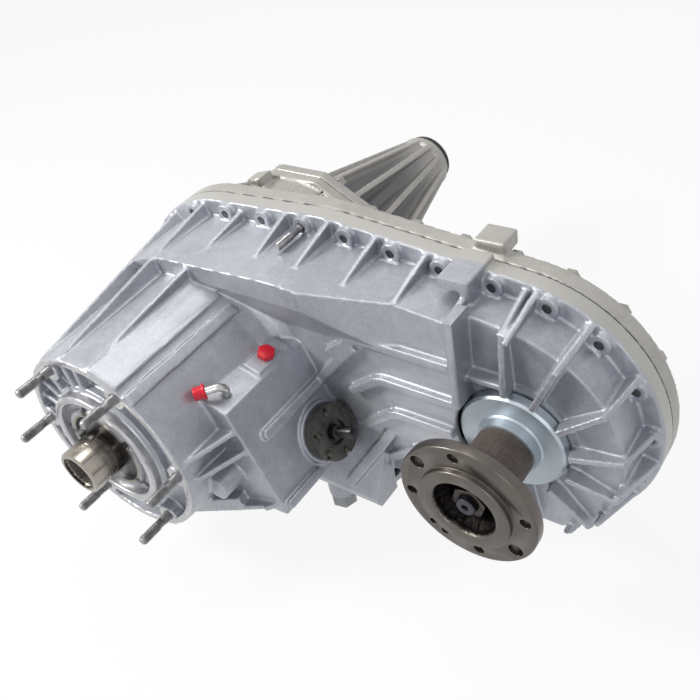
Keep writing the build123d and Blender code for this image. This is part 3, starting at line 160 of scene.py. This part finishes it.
class Nodes:
    """A node tree, and the one way in which nodes are added to it."""

    def __init__(self, tree):
        self.tree = tree

    def node(self, kind, settings=None, values=None):
        made = self.tree.nodes.new(kind)
        for key, setting in (settings or {}).items():
            setattr(made, key, setting)
        for key, value in (values or {}).items():
            self.feed(made.inputs[key], value)
        return made

    def feed(self, socket, value):
        if isinstance(value, Value):
            value = value.socket
        if isinstance(value, bpy.types.NodeSocket):
            self.tree.links.new(value, socket)
        else:
            socket.default_value = value

    def background_rays(self):
        """1 for rays that show the background: from the camera, by reflection or through glass."""
        rays = self.node("ShaderNodeLightPath")
        camera, glossy, through = (Value(self, rays.outputs[name]) for name in (
            "Is Camera Ray", "Is Glossy Ray", "Is Transmission Ray"))
        return camera.most(glossy).most(through)


class Finish(Nodes):
    """One finish of the case or its parts."""

    def __init__(self, name, colour, roughness, metallic=0.0):
        self.material = bpy.data.materials.new(name)
        self.material.use_nodes = True
        self.material.diffuse_color = (*colour, 1.0)
        super().__init__(self.material.node_tree)
        self.surface = self.tree.nodes["Principled BSDF"]
        for socket, value in (("Base Color", (*colour, 1.0)), ("Roughness", roughness),
                              ("Metallic", metallic)):
            self.surface.inputs[socket].default_value = value

    def place(self):
        """Where a point lies on the object: its vector, and x, y and z as values."""
        spot = self.node("ShaderNodeTexCoord").outputs["Object"]
        parts = self.node("ShaderNodeSeparateXYZ", None, {"Vector": spot})
        return spot, *[Value(self, parts.outputs[axis]) for axis in "XYZ"]

    def noise(self, spot, scale, detail=3.0, roughness=0.55):
        made = self.node("ShaderNodeTexNoise", None,
                         {"Vector": spot, "Scale": scale, "Detail": detail, "Roughness": roughness})
        return Value(self, made.outputs["Fac"])

    def drawn_noise(self, spot, stretch, scale):
        """Noise squeezed along each axis by stretch."""
        drawn = self.node("ShaderNodeMapping", None, {"Vector": spot, "Scale": stretch})
        return self.noise(drawn.outputs["Vector"], scale, 2.0)

    def edges(self):
        """0.5 on flat metal, more on edges and less in corners."""
        return Value(self, self.node("ShaderNodeNewGeometry").outputs["Pointiness"])

    def tint(self, first, second, mask):
        """Colour that goes from first to second as mask goes from 0 to 1."""
        made = self.node("ShaderNodeMix", {"data_type": "RGBA"})
        self.feed(made.inputs[0], mask)
        for index, colour in ((6, first), (7, second)):
            self.feed(made.inputs[index], (*colour, 1.0) if isinstance(colour, tuple) else colour)
        return made.outputs[2]

    def paint(self, **channels):
        """Feeds Base_Color, Roughness or Metallic from what changes over the surface."""
        for name, value in channels.items():
            self.feed(self.surface.inputs[name.replace("_", " ")], value)

    def painted(self):
        """The colour that the surface has so far."""
        return self.surface.inputs["Base Color"].links[0].from_socket

    def bump(self, height, strength, depth, under=None):
        """Fine relief: height from 0 to 1 raises the surface by depth."""
        values = {"Strength": strength, "Distance": depth, "Height": height}
        if under is not None:
            values["Normal"] = under
        made = self.node("ShaderNodeBump", None, values)
        self.feed(self.surface.inputs["Normal"], made.outputs["Normal"])
        return made.outputs["Normal"]


def from_axis(x, z, axis_x=0.0):
    """Distance from a shaft axis."""
    across = x - axis_x
    return (across * across + z * z).root()


def cast_aluminium(name, light, dark, machined):
    """Blasted aluminium: fine grain, faint clouding, brighter edges that are partly wear and partly painted
    highlight, painted shade in the corners, smoother machined faces.
    """
    made = Finish(name, light, 0.45, 0.45)
    spot, x, y, z = made.place()
    cloud = made.noise(spot, 9.0, 3.0)
    mottle = made.noise(spot, 110.0, 4.0, 0.7)
    grit = made.noise(spot, 650.0, 2.0, 0.6)
    edge = made.edges()
    colour = made.tint(dark, light, (cloud * 0.55 + mottle * 0.35 + grit * 0.35).between(0.44, 0.82))
    # Edges lightened: partly wear, partly painted highlight
    colour = made.tint(colour, WORN_EDGE_AND_PAINTED_HIGHLIGHT, edge.between(0.53, 0.64) * 0.6)
    # Concave corners darkened: painted shade
    colour = made.tint(colour, CORNER_PAINTED_SHADE, edge.between(0.46, 0.36) * 0.55)
    cut = machined(x, y, z)
    turned = made.drawn_noise(spot, (1.0, 14.0, 1.0), 240.0)
    bright = made.tint(CUT_LIGHT, CUT_DARK, turned.between(0.35, 0.65))
    colour = made.tint(colour, JOINT_LINE, y.inside(SPLIT - 0.0006, SPLIT + 0.0006, 0.0006) * 0.9)
    made.paint(Base_Color=made.tint(colour, bright, cut),
               Roughness=(0.36 + mottle * 0.12) - cut * 0.10,
               Metallic=cut * 0.20 + 0.50)
    peel = made.bump(made.noise(spot, 300.0, 3.0, 0.6), 0.22, 0.0005)
    made.bump(grit * (1.0 - cut), 0.30, 0.00022, peel)
    return made


def front_machined(x, y, z):
    """1 on the input face and on the ring round the retainer."""
    radius = from_axis(x, z)
    face = y.between(0.0012, 0.0004)
    pilot = radius.between(PILOT_RADIUS + 0.0004, PILOT_RADIUS - 0.0004) * y.between(0.0115, 0.0105)
    return face.most(pilot)


def rear_machined(x, y, z):
    """1 on the seat of the tail housing."""
    return y.inside(TAIL_FACE - 0.0005, TAIL_FACE, 0.0004)


def tail_machined(x, y, z):
    """1 on the open end of the tail."""
    return y.between(TAIL_MOUTH - 0.0003, TAIL_MOUTH + 0.0002)


def tail_cast():
    """Tail housing: as the rear case, with smooth flutes between its ribs, darkened there as painted shade.
    """
    made = cast_aluminium("case_cast_tail", (0.46, 0.44, 0.41), (0.36, 0.345, 0.32), tail_machined)
    _, x, y, z = made.place()
    below = (FIN_TOP + FIN_START * FIN_FALL) - y * FIN_FALL - from_axis(x, z)
    flute_shade = below.between(0.0030, 0.0120) * y.between(0.334, 0.337)
    # Flute bottoms darkened by depth below the rib crests: painted shade
    made.paint(Base_Color=made.tint(made.painted(), (0.115, 0.115, 0.125), flute_shade * 0.9))
    return made.material


def turned_steel(name, light, dark, roughness=0.3, metallic=0.85, axis_x=0.0, lines=700.0):
    """Steel with the fine rings that turning leaves."""
    made = Finish(name, light, roughness, metallic)
    spot, x, y, z = made.place()
    radius = from_axis(x, z, axis_x)
    rings = made.node("ShaderNodeCombineXYZ", None, {"X": radius, "Y": y, "Z": 0.0}).outputs["Vector"]
    fine = made.noise(rings, lines, 3.0, 0.7)
    cloud = made.noise(spot, 45.0, 3.0)
    # Edges lightened: painted highlight
    edge = made.edges().between(0.53, 0.60) * 0.35
    made.paint(Base_Color=made.tint(dark, light, (fine * 0.60 + cloud * 0.45 + edge).between(0.34, 0.86)),
               Roughness=roughness + fine * 0.14)
    made.bump(fine, 0.14, 0.0002)
    return made


def plain_metal(name, light, dark, roughness=0.35, metallic=0.8, scale=60.0, relief=0.1):
    """Plated, ground, cast or pressed metal with light clouding and a painted highlight on its edges."""
    made = Finish(name, light, roughness, metallic)
    spot, *_ = made.place()
    cloud = made.noise(spot, scale, 4.0, 0.65)
    # Edges lightened: painted highlight
    edge = made.edges().between(0.53, 0.60) * 0.30
    made.paint(Base_Color=made.tint(dark, light, (cloud + edge).between(0.32, 0.72)),
               Roughness=roughness - 0.05 + cloud * 0.16)
    made.bump(made.noise(spot, scale * 14, 2.0), relief, 0.0002)
    return made.material


def rim_bolt():
    """Case bolts: plated heads at the rear, dark ends in the pads of the front case."""
    made = Finish("bolt_plated", (0.44, 0.43, 0.40), 0.34, 0.8)
    spot, _, y, _ = made.place()
    cloud = made.noise(spot, 120.0, 4.0, 0.65)
    plated = made.tint((0.30, 0.29, 0.265), (0.44, 0.43, 0.40), cloud.between(0.32, 0.72))
    made.paint(Base_Color=made.tint((0.085, 0.085, 0.09), plated, y.between(0.212, 0.216)),
               Roughness=0.29 + cloud * 0.16)
    return made.material


def soft_plastic(name, light, dark, roughness=0.45):
    """Moulded plastic or rubber with a faint grain."""
    made = Finish(name, light, roughness)
    spot, *_ = made.place()
    cloud = made.noise(spot, 120.0, 3.0)
    made.paint(Base_Color=made.tint(dark, light, cloud.between(0.3, 0.7)),
               Roughness=roughness - 0.04 + cloud * 0.1)
    made.bump(made.noise(spot, 1500.0, 2.0), 0.12, 0.0002)
    return made.material


def rusted_flange():
    """Output flange: turned grey face and rim, a brown unpainted hub, and a recess of bare metal painted
    near black as painted shade.
    """
    made = turned_steel("flange_turned_face", (0.185, 0.168, 0.150), (0.105, 0.094, 0.085), 0.26, 0.9,
                        OUTPUT_X, 1500.0)
    spot, x, y, z = made.place()
    radius = from_axis(x, z, OUTPUT_X)
    blotch = made.noise(spot, 60.0, 4.0, 0.6)
    speck = made.noise(spot, 480.0, 3.0, 0.7)
    rings = made.node("ShaderNodeCombineXYZ", None, {"X": y, "Y": 0.0, "Z": 0.0}).outputs["Vector"]
    tool_marks = made.noise(rings, 520.0, 2.0)
    hub = y.between(HUB_FRONT, HUB_FRONT + 0.001) * radius.between(0.0230, 0.0236)
    recess = (radius + blotch * 0.0015).between(RECESS_RADIUS + 0.0008, RECESS_RADIUS) * y.between(
        FLANGE_FRONT + 0.0008, FLANGE_FRONT + 0.0022) * (1.0 - hub)
    brown = made.tint((0.085, 0.066, 0.058), (0.190, 0.150, 0.128),
                      (blotch * 0.35 + speck * 0.35 + tool_marks * 0.45).between(0.40, 0.80))
    # Recess painted near black: painted shade
    recess_shade = made.tint((0.006, 0.005, 0.005), (0.034, 0.026, 0.023), speck.between(0.45, 0.75))
    colour = made.tint(made.painted(), brown, hub)
    bare = hub.most(recess)
    made.paint(Base_Color=made.tint(colour, recess_shade, recess), Roughness=(0.27 + speck * 0.14) + bare * 0.24,
               Metallic=0.92 - hub * 0.50)
    made.bump(speck * bare + made.noise(spot, 1200.0, 2.0) * 0.15, 0.35, 0.0004)
    return made.material


def sleeve_steel():
    """Sleeve: dark polished steel, its bore a little darker."""
    made = turned_steel("sleeve_steel", (0.36, 0.33, 0.29), (0.20, 0.18, 0.16), 0.14, 1.0, 0.0, 420.0)
    _, x, _, z = made.place()
    bore = from_axis(x, z).between(BORE_RADIUS + 0.0003, BORE_RADIUS)
    made.paint(Base_Color=made.tint(made.painted(), (0.24, 0.22, 0.20), bore))
    return made.material


def plated_ring():
    """Retainer: grey steel with a thin yellow plated band at the seal."""
    made = turned_steel("retainer_plate", (0.36, 0.37, 0.39), (0.22, 0.225, 0.24), 0.28, 0.8, 0.0, 800.0)
    _, x, _, z = made.place()
    band = from_axis(x, z).inside(*BAND, 0.0004)
    made.paint(Base_Color=made.tint(made.painted(), (0.24, 0.22, 0.11), band))
    return made.material


def front_cast():
    """Front case: bluish blasted metal, warmer on the trimmed edge of its rim."""
    made = cast_aluminium("case_cast_front", (0.50, 0.51, 0.545), (0.34, 0.35, 0.385), front_machined)
    _, _, y, _ = made.place()
    rim = y.between(RIM_TRIM - 0.0006, RIM_TRIM + 0.0006)
    made.paint(Base_Color=made.tint(made.painted(), (0.50, 0.485, 0.45), rim))
    return made.material


case_front = front_cast()
case_rear = cast_aluminium("case_cast_rear", (0.50, 0.48, 0.445), (0.38, 0.365, 0.335),
                           rear_machined).material
case_tail = tail_cast()
flange_finish = rusted_flange()
sleeve_finish = sleeve_steel()
# Splines: bright steel, painted lighter still as painted light against the shade in the sleeve's bore
spline_finish_painted_light = plain_metal("spline_steel_painted_light", (0.62, 0.60, 0.56), (0.46, 0.44, 0.41), 0.24, 0.9)
retainer_finish = plated_ring()
shield_finish = turned_steel("shield_zinc", (0.52, 0.575, 0.62), (0.42, 0.47, 0.51), 0.36, 0.75, OUTPUT_X,
                             420.0).material
nut_finish = plain_metal("nut_dark", (0.075, 0.066, 0.060), (0.035, 0.030, 0.027), 0.30, 0.85)
shaft_end_finish = plain_metal("shaft_end_dark", (0.055, 0.055, 0.065), (0.025, 0.025, 0.03), 0.30, 0.8)
stud_finish = plain_metal("stud_steel", (0.30, 0.29, 0.30), (0.14, 0.135, 0.14), 0.32, 0.85, 140.0)
bolt_finish = rim_bolt()
screw_finish = plain_metal("screw_dark", (0.16, 0.155, 0.14), (0.08, 0.078, 0.07), 0.34, 0.8, 120.0)
plug_finish = plain_metal("plug_grey", (0.30, 0.31, 0.32), (0.20, 0.21, 0.22), 0.42, 0.7, 90.0)
housing_finish = plain_metal("housing_olive", (0.120, 0.116, 0.104), (0.070, 0.068, 0.060), 0.36, 0.6, 130.0,
                             0.25)
lever_finish = plain_metal("selector_dark", (0.110, 0.105, 0.105), (0.045, 0.042, 0.042), 0.30, 0.85)
tube_finish = plain_metal("vent_tube_plated", (0.60, 0.60, 0.57), (0.44, 0.44, 0.42), 0.22, 0.9)
red_finish = soft_plastic("cap_red", (0.78, 0.008, 0.030), (0.64, 0.006, 0.022), 0.34)
seal_finish = soft_plastic("seal_black", (0.020, 0.020, 0.022), (0.010, 0.010, 0.011), 0.45)
ground_finish = plain_metal("gear_ground", (0.46, 0.46, 0.47), (0.34, 0.34, 0.35), 0.30, 0.9)
turned_finish = turned_steel("shaft_turned", (0.54, 0.53, 0.51), (0.38, 0.37, 0.36), 0.26, 0.9).material
bearing_finish = turned_steel("bearing_race", (0.58, 0.58, 0.58), (0.42, 0.42, 0.42), 0.2, 0.95).material
bronze_finish = turned_steel("bush_bronze", (0.52, 0.35, 0.17), (0.38, 0.25, 0.12), 0.32, 0.9).material
chain_finish = plain_metal("chain_dark", (0.27, 0.27, 0.28), (0.17, 0.17, 0.18), 0.38, 0.85)
iron_finish = plain_metal("fork_cast", (0.24, 0.235, 0.23), (0.16, 0.155, 0.15), 0.55, 0.6, 80.0, 0.4)
pump_finish = plain_metal("pump_cast", (0.50, 0.50, 0.50), (0.40, 0.40, 0.40), 0.42, 0.6, 80.0, 0.3)
magnet_finish = plain_metal("magnet_sintered", (0.06, 0.06, 0.065), (0.035, 0.035, 0.04), 0.5, 0.4)

FINISHES = {
    "front_case": case_front, "rear_case": case_rear, "tail_housing": case_tail,
    "input_shaft": sleeve_finish, "input_splines": spline_finish_painted_light, "input_retainer": retainer_finish,
    "input_seal": seal_finish, "tail_seal": seal_finish, "front_output_seal": seal_finish,
    "output_flange": flange_finish, "dust_shield": shield_finish, "flange_nut": nut_finish,
    "flange_washer": nut_finish, "front_output_shaft": shaft_end_finish,
    "input_studs": stud_finish, "rim_stud": stud_finish, "case_bolts": bolt_finish,
    "tail_bolts": bolt_finish, "shift_housing_screws": screw_finish, "drain_plug": plug_finish,
    "fill_plug": plug_finish, "shift_housing": housing_finish, "sector_shaft": lever_finish,
    "sector_plate": ground_finish, "vent_tube": tube_finish, "vent_cap": red_finish,
    "port_cap": red_finish, "tail_bush": bronze_finish, "main_shaft": turned_finish,
    "mode_hub": turned_finish, "range_collar": turned_finish, "mode_collar": turned_finish,
    "shift_rail": turned_finish, "case_dowels": turned_finish, "tone_ring": turned_finish,
    "bearing_snap_ring": turned_finish, "planet_pins": turned_finish, "ring_gear": ground_finish,
    "sun_gear": ground_finish, "planet_carrier": ground_finish, "drive_sprocket": ground_finish,
    "driven_sprocket": ground_finish, "planet_gear_1": ground_finish, "planet_gear_2": ground_finish,
    "planet_gear_3": ground_finish, "planet_gear_4": ground_finish, "drive_chain": chain_finish,
    "input_bearing": bearing_finish, "main_shaft_bearing": bearing_finish,
    "front_output_bearing": bearing_finish, "front_output_rear_bearing": bearing_finish,
    "range_fork": iron_finish, "mode_fork": iron_finish, "oil_pump": pump_finish,
    "oil_pickup": plug_finish, "magnet": magnet_finish,
}


def dress(piece, finish):
    """Gives a piece its finish in every slot."""
    if not piece.data.materials:
        piece.data.materials.append(finish)
    for place in piece.material_slots:
        place.link = "OBJECT"
        place.material = finish


for node in FINISHES:
    dress(frame["nodes"][node], FINISHES[node])


# ---------------------------------------------------------------- modelling

def only(piece):
    """Makes a piece the one selected and active object."""
    bpy.ops.object.select_all(action="DESELECT")
    piece.select_set(True)
    bpy.context.view_layer.objects.active = piece


def shape_with(piece, kind, **settings):
    """Adds a modifier to a piece and applies it."""
    only(piece)
    modifier = piece.modifiers.new(kind.lower(), kind)
    for key, value in settings.items():
        setattr(modifier, key, value)
    bpy.ops.object.modifier_apply(modifier=modifier.name)


def settle(piece, name, node, angle):
    """Puts a finished piece's place in its mesh, and gives it the finish, body and slot of its node."""
    only(piece)
    piece.name = piece.data.name = name
    bpy.ops.object.transform_apply(location=True, rotation=True, scale=True)
    bpy.ops.object.mode_set(mode="EDIT")
    bpy.ops.mesh.select_all(action="SELECT")
    bpy.ops.mesh.normals_make_consistent(inside=False)
    bpy.ops.object.mode_set(mode="OBJECT")
    bpy.ops.object.shade_smooth_by_angle(angle=math.radians(angle))
    dress(piece, FINISHES[node])
    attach(piece, BODY_OF[node])
    return piece


def merged_copy(node):
    """Copy of a part's solid with its loose triangles joined."""
    piece = bpy.data.objects.new(node, frame["nodes"][node].data.copy())
    bpy.context.scene.collection.objects.link(piece)
    piece.data.materials.clear()
    only(piece)
    bpy.ops.object.mode_set(mode="EDIT")
    bpy.ops.mesh.select_all(action="SELECT")
    bpy.ops.mesh.remove_doubles(threshold=1e-6)
    bpy.ops.object.mode_set(mode="OBJECT")
    return piece


def flutes():
    """Body of the tail between its ribs: twelve V-shaped flutes that run out towards the seal."""
    bpy.ops.object.select_all(action="DESELECT")
    bpy.ops.mesh.primitive_circle_add(vertices=2 * FIN_COUNT, radius=FLUTE_TOP, fill_type="NGON",
                                      location=(0, FIN_START, 0), rotation=(math.pi / 2, math.pi / 2, 0))
    star = bpy.context.object
    bpy.ops.object.transform_apply(location=True, rotation=True, scale=True)
    for corner in star.data.vertices:
        turn = math.atan2(corner.co.z, corner.co.x) * FIN_COUNT / math.pi
        if round(turn) % 2:
            corner.co.x *= FLUTE_FLOOR / FLUTE_TOP
            corner.co.z *= FLUTE_FLOOR / FLUTE_TOP
    bpy.ops.object.mode_set(mode="EDIT")
    bpy.ops.mesh.select_all(action="SELECT")
    bpy.ops.mesh.extrude_region_move(TRANSFORM_OT_translate={"value": (0, FLUTE_END - FIN_START, 0)})
    ratio = TAIL_END_RADIUS / FLUTE_TOP
    bpy.ops.transform.resize(value=(ratio, 1, ratio), center_override=(0, FLUTE_END, 0))
    bpy.ops.object.mode_set(mode="OBJECT")
    bpy.ops.object.select_all(action="DESELECT")
    bpy.ops.mesh.primitive_cone_add(vertices=48, radius1=FLUTE_FLOOR - FLUTE_WALL,
                                    radius2=TAIL_END_RADIUS - FLUTE_END_WALL,
                                    depth=FLUTE_END - FIN_START + 0.004, rotation=(-math.pi / 2, 0, 0),
                                    location=(0, (FLUTE_END + FIN_START) / 2, 0))
    bore = bpy.context.object
    shape_with(star, "BOOLEAN", object=bore, operation="DIFFERENCE", solver="EXACT")
    bpy.data.objects.remove(bore)
    return star


def leaning_block(out, back, up, size):
    """Block square to the tilted shift box, turned to the lean of the web under the bell."""
    bpy.ops.object.select_all(action="DESELECT")
    bpy.ops.mesh.primitive_cube_add(size=1, location=BOX_OUT * out + BOX_UP * up + Vector((0, back, 0)))
    block = bpy.context.object
    block.rotation_mode = "ZXY"
    block.rotation_euler = (0, -BOX_TILT, WEB_LEAN)
    block.scale = size
    bpy.ops.object.transform_apply(location=True, rotation=True, scale=True)
    return block


def casting(node, voxel, most, *more, cut=None):
    """Casting with its edges and rib roots rounded as a mould leaves them, and what else is cast on it."""
    piece = merged_copy(node)
    if cut:
        shape_with(piece, "BOOLEAN", object=cut, operation="DIFFERENCE", solver="EXACT")
        bpy.data.objects.remove(cut)
    for other in more:
        other.select_set(True)
    if more:
        bpy.ops.object.join()
    shape_with(piece, "REMESH", mode="VOXEL", voxel_size=voxel)
    shape_with(piece, "SMOOTH", factor=0.5, iterations=SMOOTHING)
    faces = len(piece.data.polygons)
    shape_with(piece, "DECIMATE", ratio=min(1.0, most / (2 * faces)))
    settle(piece, f"{node}_casting", node, 50.0)
    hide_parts(node)


casting("front_case", FRONT_VOXEL, 195000,
        leaning_block(0.0420, 0.0425, -0.0990, (0.070, 0.022, 0.015)),
        cut=leaning_block(0.0495, 0.0129, -0.1062, (0.120, 0.040, 0.010)))
casting("rear_case", REAR_VOXEL, 160000)
casting("tail_housing", TAIL_VOXEL, 120000, flutes())


def broken_edges(node, width, segments=2):
    """Turned, forged or moulded part with its sharp edges broken."""
    piece = merged_copy(node)
    bpy.ops.object.mode_set(mode="EDIT")
    bpy.ops.mesh.select_all(action="SELECT")
    bpy.ops.mesh.dissolve_limited(angle_limit=math.radians(1.0))
    bpy.ops.object.mode_set(mode="OBJECT")
    shape_with(piece, "BEVEL", width=width, segments=segments, limit_method="ANGLE",
               angle_limit=math.radians(38.0))
    settle(piece, f"{node}_part", node, 40.0)
    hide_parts(node)


for node, width in (("output_flange", 0.0006), ("flange_nut", 0.0008), ("port_cap", 0.0022),
                    ("vent_cap", 0.0008), ("drain_plug", 0.0006), ("fill_plug", 0.0006),
                    ("shift_housing", 0.0005), ("shift_housing_screws", 0.0003), ("case_bolts", 0.0005),
                    ("tail_bolts", 0.0005), ("input_retainer", 0.0004),
                    ("sector_shaft", 0.0004), ("flange_washer", 0.0003)):
    broken_edges(node, width)


def lathe(profile, segments=32):
    """Solid turned about the Y axis from (radius, y) steps, its first and last faces flat."""
    (radius, y), *steps = profile
    bpy.ops.object.select_all(action="DESELECT")
    bpy.ops.mesh.primitive_circle_add(vertices=segments, radius=radius, fill_type="NGON",
                                      location=(0, y, 0), rotation=(math.pi / 2, 0, 0))
    piece = bpy.context.object
    bpy.ops.object.transform_apply(location=True, rotation=True, scale=True)
    bpy.ops.object.mode_set(mode="EDIT")
    bpy.ops.mesh.select_all(action="SELECT")
    for next_radius, next_y in steps:
        bpy.ops.mesh.extrude_region_move(TRANSFORM_OT_translate={"value": (0, next_y - y, 0)})
        ratio = next_radius / radius
        bpy.ops.transform.resize(value=(ratio, 1, ratio), center_override=(0, next_y, 0))
        radius, y = next_radius, next_y
    bpy.ops.object.mode_set(mode="OBJECT")
    return piece


def thread_steps(radius, start, end, pitch, depth):
    """Profile steps of a fine thread from start to end."""
    steps = []
    for turn in range(round((end - start) / pitch)):
        steps += [(radius - depth, start + turn * pitch), (radius, start + (turn + 0.5) * pitch)]
    return [*steps, (radius - depth, end)]


def copy_of(piece):
    """Copy of a piece with a mesh of its own."""
    twin = piece.copy()
    twin.data = piece.data.copy()
    bpy.context.scene.collection.objects.link(twin)
    return twin


def threaded_stud(radius, tip, waist_front, waist_rear, root, pitch):
    """Stud along Y with a thread at each end and a plain waist."""
    depth = pitch * 0.42
    return lathe([(radius - 0.0016, tip), (radius - depth, tip + 0.0014),
                  *thread_steps(radius, tip + 0.002, waist_front, pitch, depth),
                  (radius - 0.0006, waist_front + 0.0008), (radius - 0.0006, waist_rear - 0.0008),
                  *thread_steps(radius, waist_rear, root, pitch, depth)], segments=24)


model_stud = threaded_stud(STUD_RADIUS, STUD_TIP, *STUD_WAIST, STUD_ROOT, STUD_PITCH)
for number in range(STUD_COUNT):
    angle = number * math.tau / STUD_COUNT
    stud = model_stud if number == STUD_COUNT - 1 else copy_of(model_stud)
    stud.location = (STUD_CIRCLE * math.cos(angle), 0, STUD_CIRCLE * math.sin(angle))
    settle(stud, f"input_stud_{number + 1}", "input_studs", 25.0)
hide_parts("input_studs")

low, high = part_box("rim_stud")
tip, head = low[1], high[1]
long_stud = lathe([(0.0028, tip), (0.0032, tip + 0.001),
                   *thread_steps(0.0038, tip + 0.0015, tip + 0.020, 0.00125, 0.0005),
                   (0.0034, tip + 0.021), (0.0034, PAD_FRONT - 0.003), (0.004, PAD_FRONT - 0.002),
                   (0.004, RIM_REAR), (0.0065, RIM_REAR), (0.0065, head - 0.001), (0.0058, head)],
                  segments=24)
long_stud.location = ((low[0] + high[0]) / 2, 0, (low[2] + high[2]) / 2)
settle(long_stud, "rim_long_stud", "rim_stud", 25.0)
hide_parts("rim_stud")


# ---------------------------------------------------------------- floor, light and camera

bpy.ops.object.select_all(action="DESELECT")
bpy.ops.mesh.primitive_plane_add(size=12, location=(0.15, 0.2, cad_low[2]))
floor = bpy.context.object
floor.name = "studio_floor"
floor_finish = Finish("floor_white", (0.86, 0.86, 0.86), 0.9)
floor_finish.surface.inputs["Specular IOR Level"].default_value = 0.0
glow = floor_finish.node("ShaderNodeEmission", None, {"Color": WHITE, "Strength": 1.0})
floor_blend = floor_finish.node("ShaderNodeMixShader", None, {
    0: floor_finish.background_rays() * 0.90, 1: floor_finish.surface.outputs[0], 2: glow.outputs[0]})
floor_finish.feed(floor_finish.tree.nodes["Material Output"].inputs["Surface"], floor_blend.outputs[0])
floor.data.materials.append(floor_finish.material)

world = bpy.data.worlds.new("studio_air")
bpy.context.scene.world = world
world.use_nodes = True
air = Nodes(world.node_tree)
soft_light = air.tree.nodes["Background"]
soft_light.inputs["Color"].default_value = (0.80, 0.88, 1.0, 1.0)
soft_light.inputs["Strength"].default_value = 0.28
white = air.node("ShaderNodeBackground", None, {"Color": WHITE, "Strength": 1.0})
air_blend = air.node("ShaderNodeMixShader", None, {
    0: air.background_rays(), 1: soft_light.outputs[0], 2: white.outputs[0]})
air.feed(air.tree.nodes["World Output"].inputs["Surface"], air_blend.outputs[0])


def softbox(name, place, size, power, colour):
    """Square soft lamp at a place, turned to the middle of the case."""
    lamp = bpy.data.lights.new(name, "AREA")
    lamp.size = size
    lamp.energy = power
    lamp.color = colour
    holder = bpy.data.objects.new(name, lamp)
    bpy.context.scene.collection.objects.link(holder)
    holder.location = place
    holder.rotation_euler = (VIEW_CENTRE - Vector(place)).to_track_quat("-Z", "Y").to_euler()


softbox("lamp_left_high", (-1.10, -0.75, 1.25), 0.50, 34.0, (1.0, 0.99, 0.96))
softbox("lamp_above", (-0.10, 0.35, 1.6), 0.7, 7.0, (1.0, 0.98, 0.95))
softbox("lamp_right", (1.4, -0.9, 0.9), 0.4, 4.0, (0.92, 0.96, 1.0))

scene = bpy.context.scene
scene.view_settings.view_transform = "Standard"
lens = bpy.data.cameras.new("photo_camera")
lens.lens = 43.58
lens.sensor_width = 36.0
camera = bpy.data.objects.new("photo_camera", lens)
scene.collection.objects.link(camera)
across = Vector((0.8062, 0.5677, -0.1665))
down = Vector((0.2604, -0.5932, -0.7617))
ahead = Vector((-0.5312, 0.5708, -0.6261))
stand = Vector((0.5668, -0.2666, 0.5162))
camera.matrix_world = Matrix((
    (across.x, -down.x, -ahead.x, stand.x),
    (across.y, -down.y, -ahead.y, stand.y),
    (across.z, -down.z, -ahead.z, stand.z),
    (0, 0, 0, 1)))
scene.camera = camera
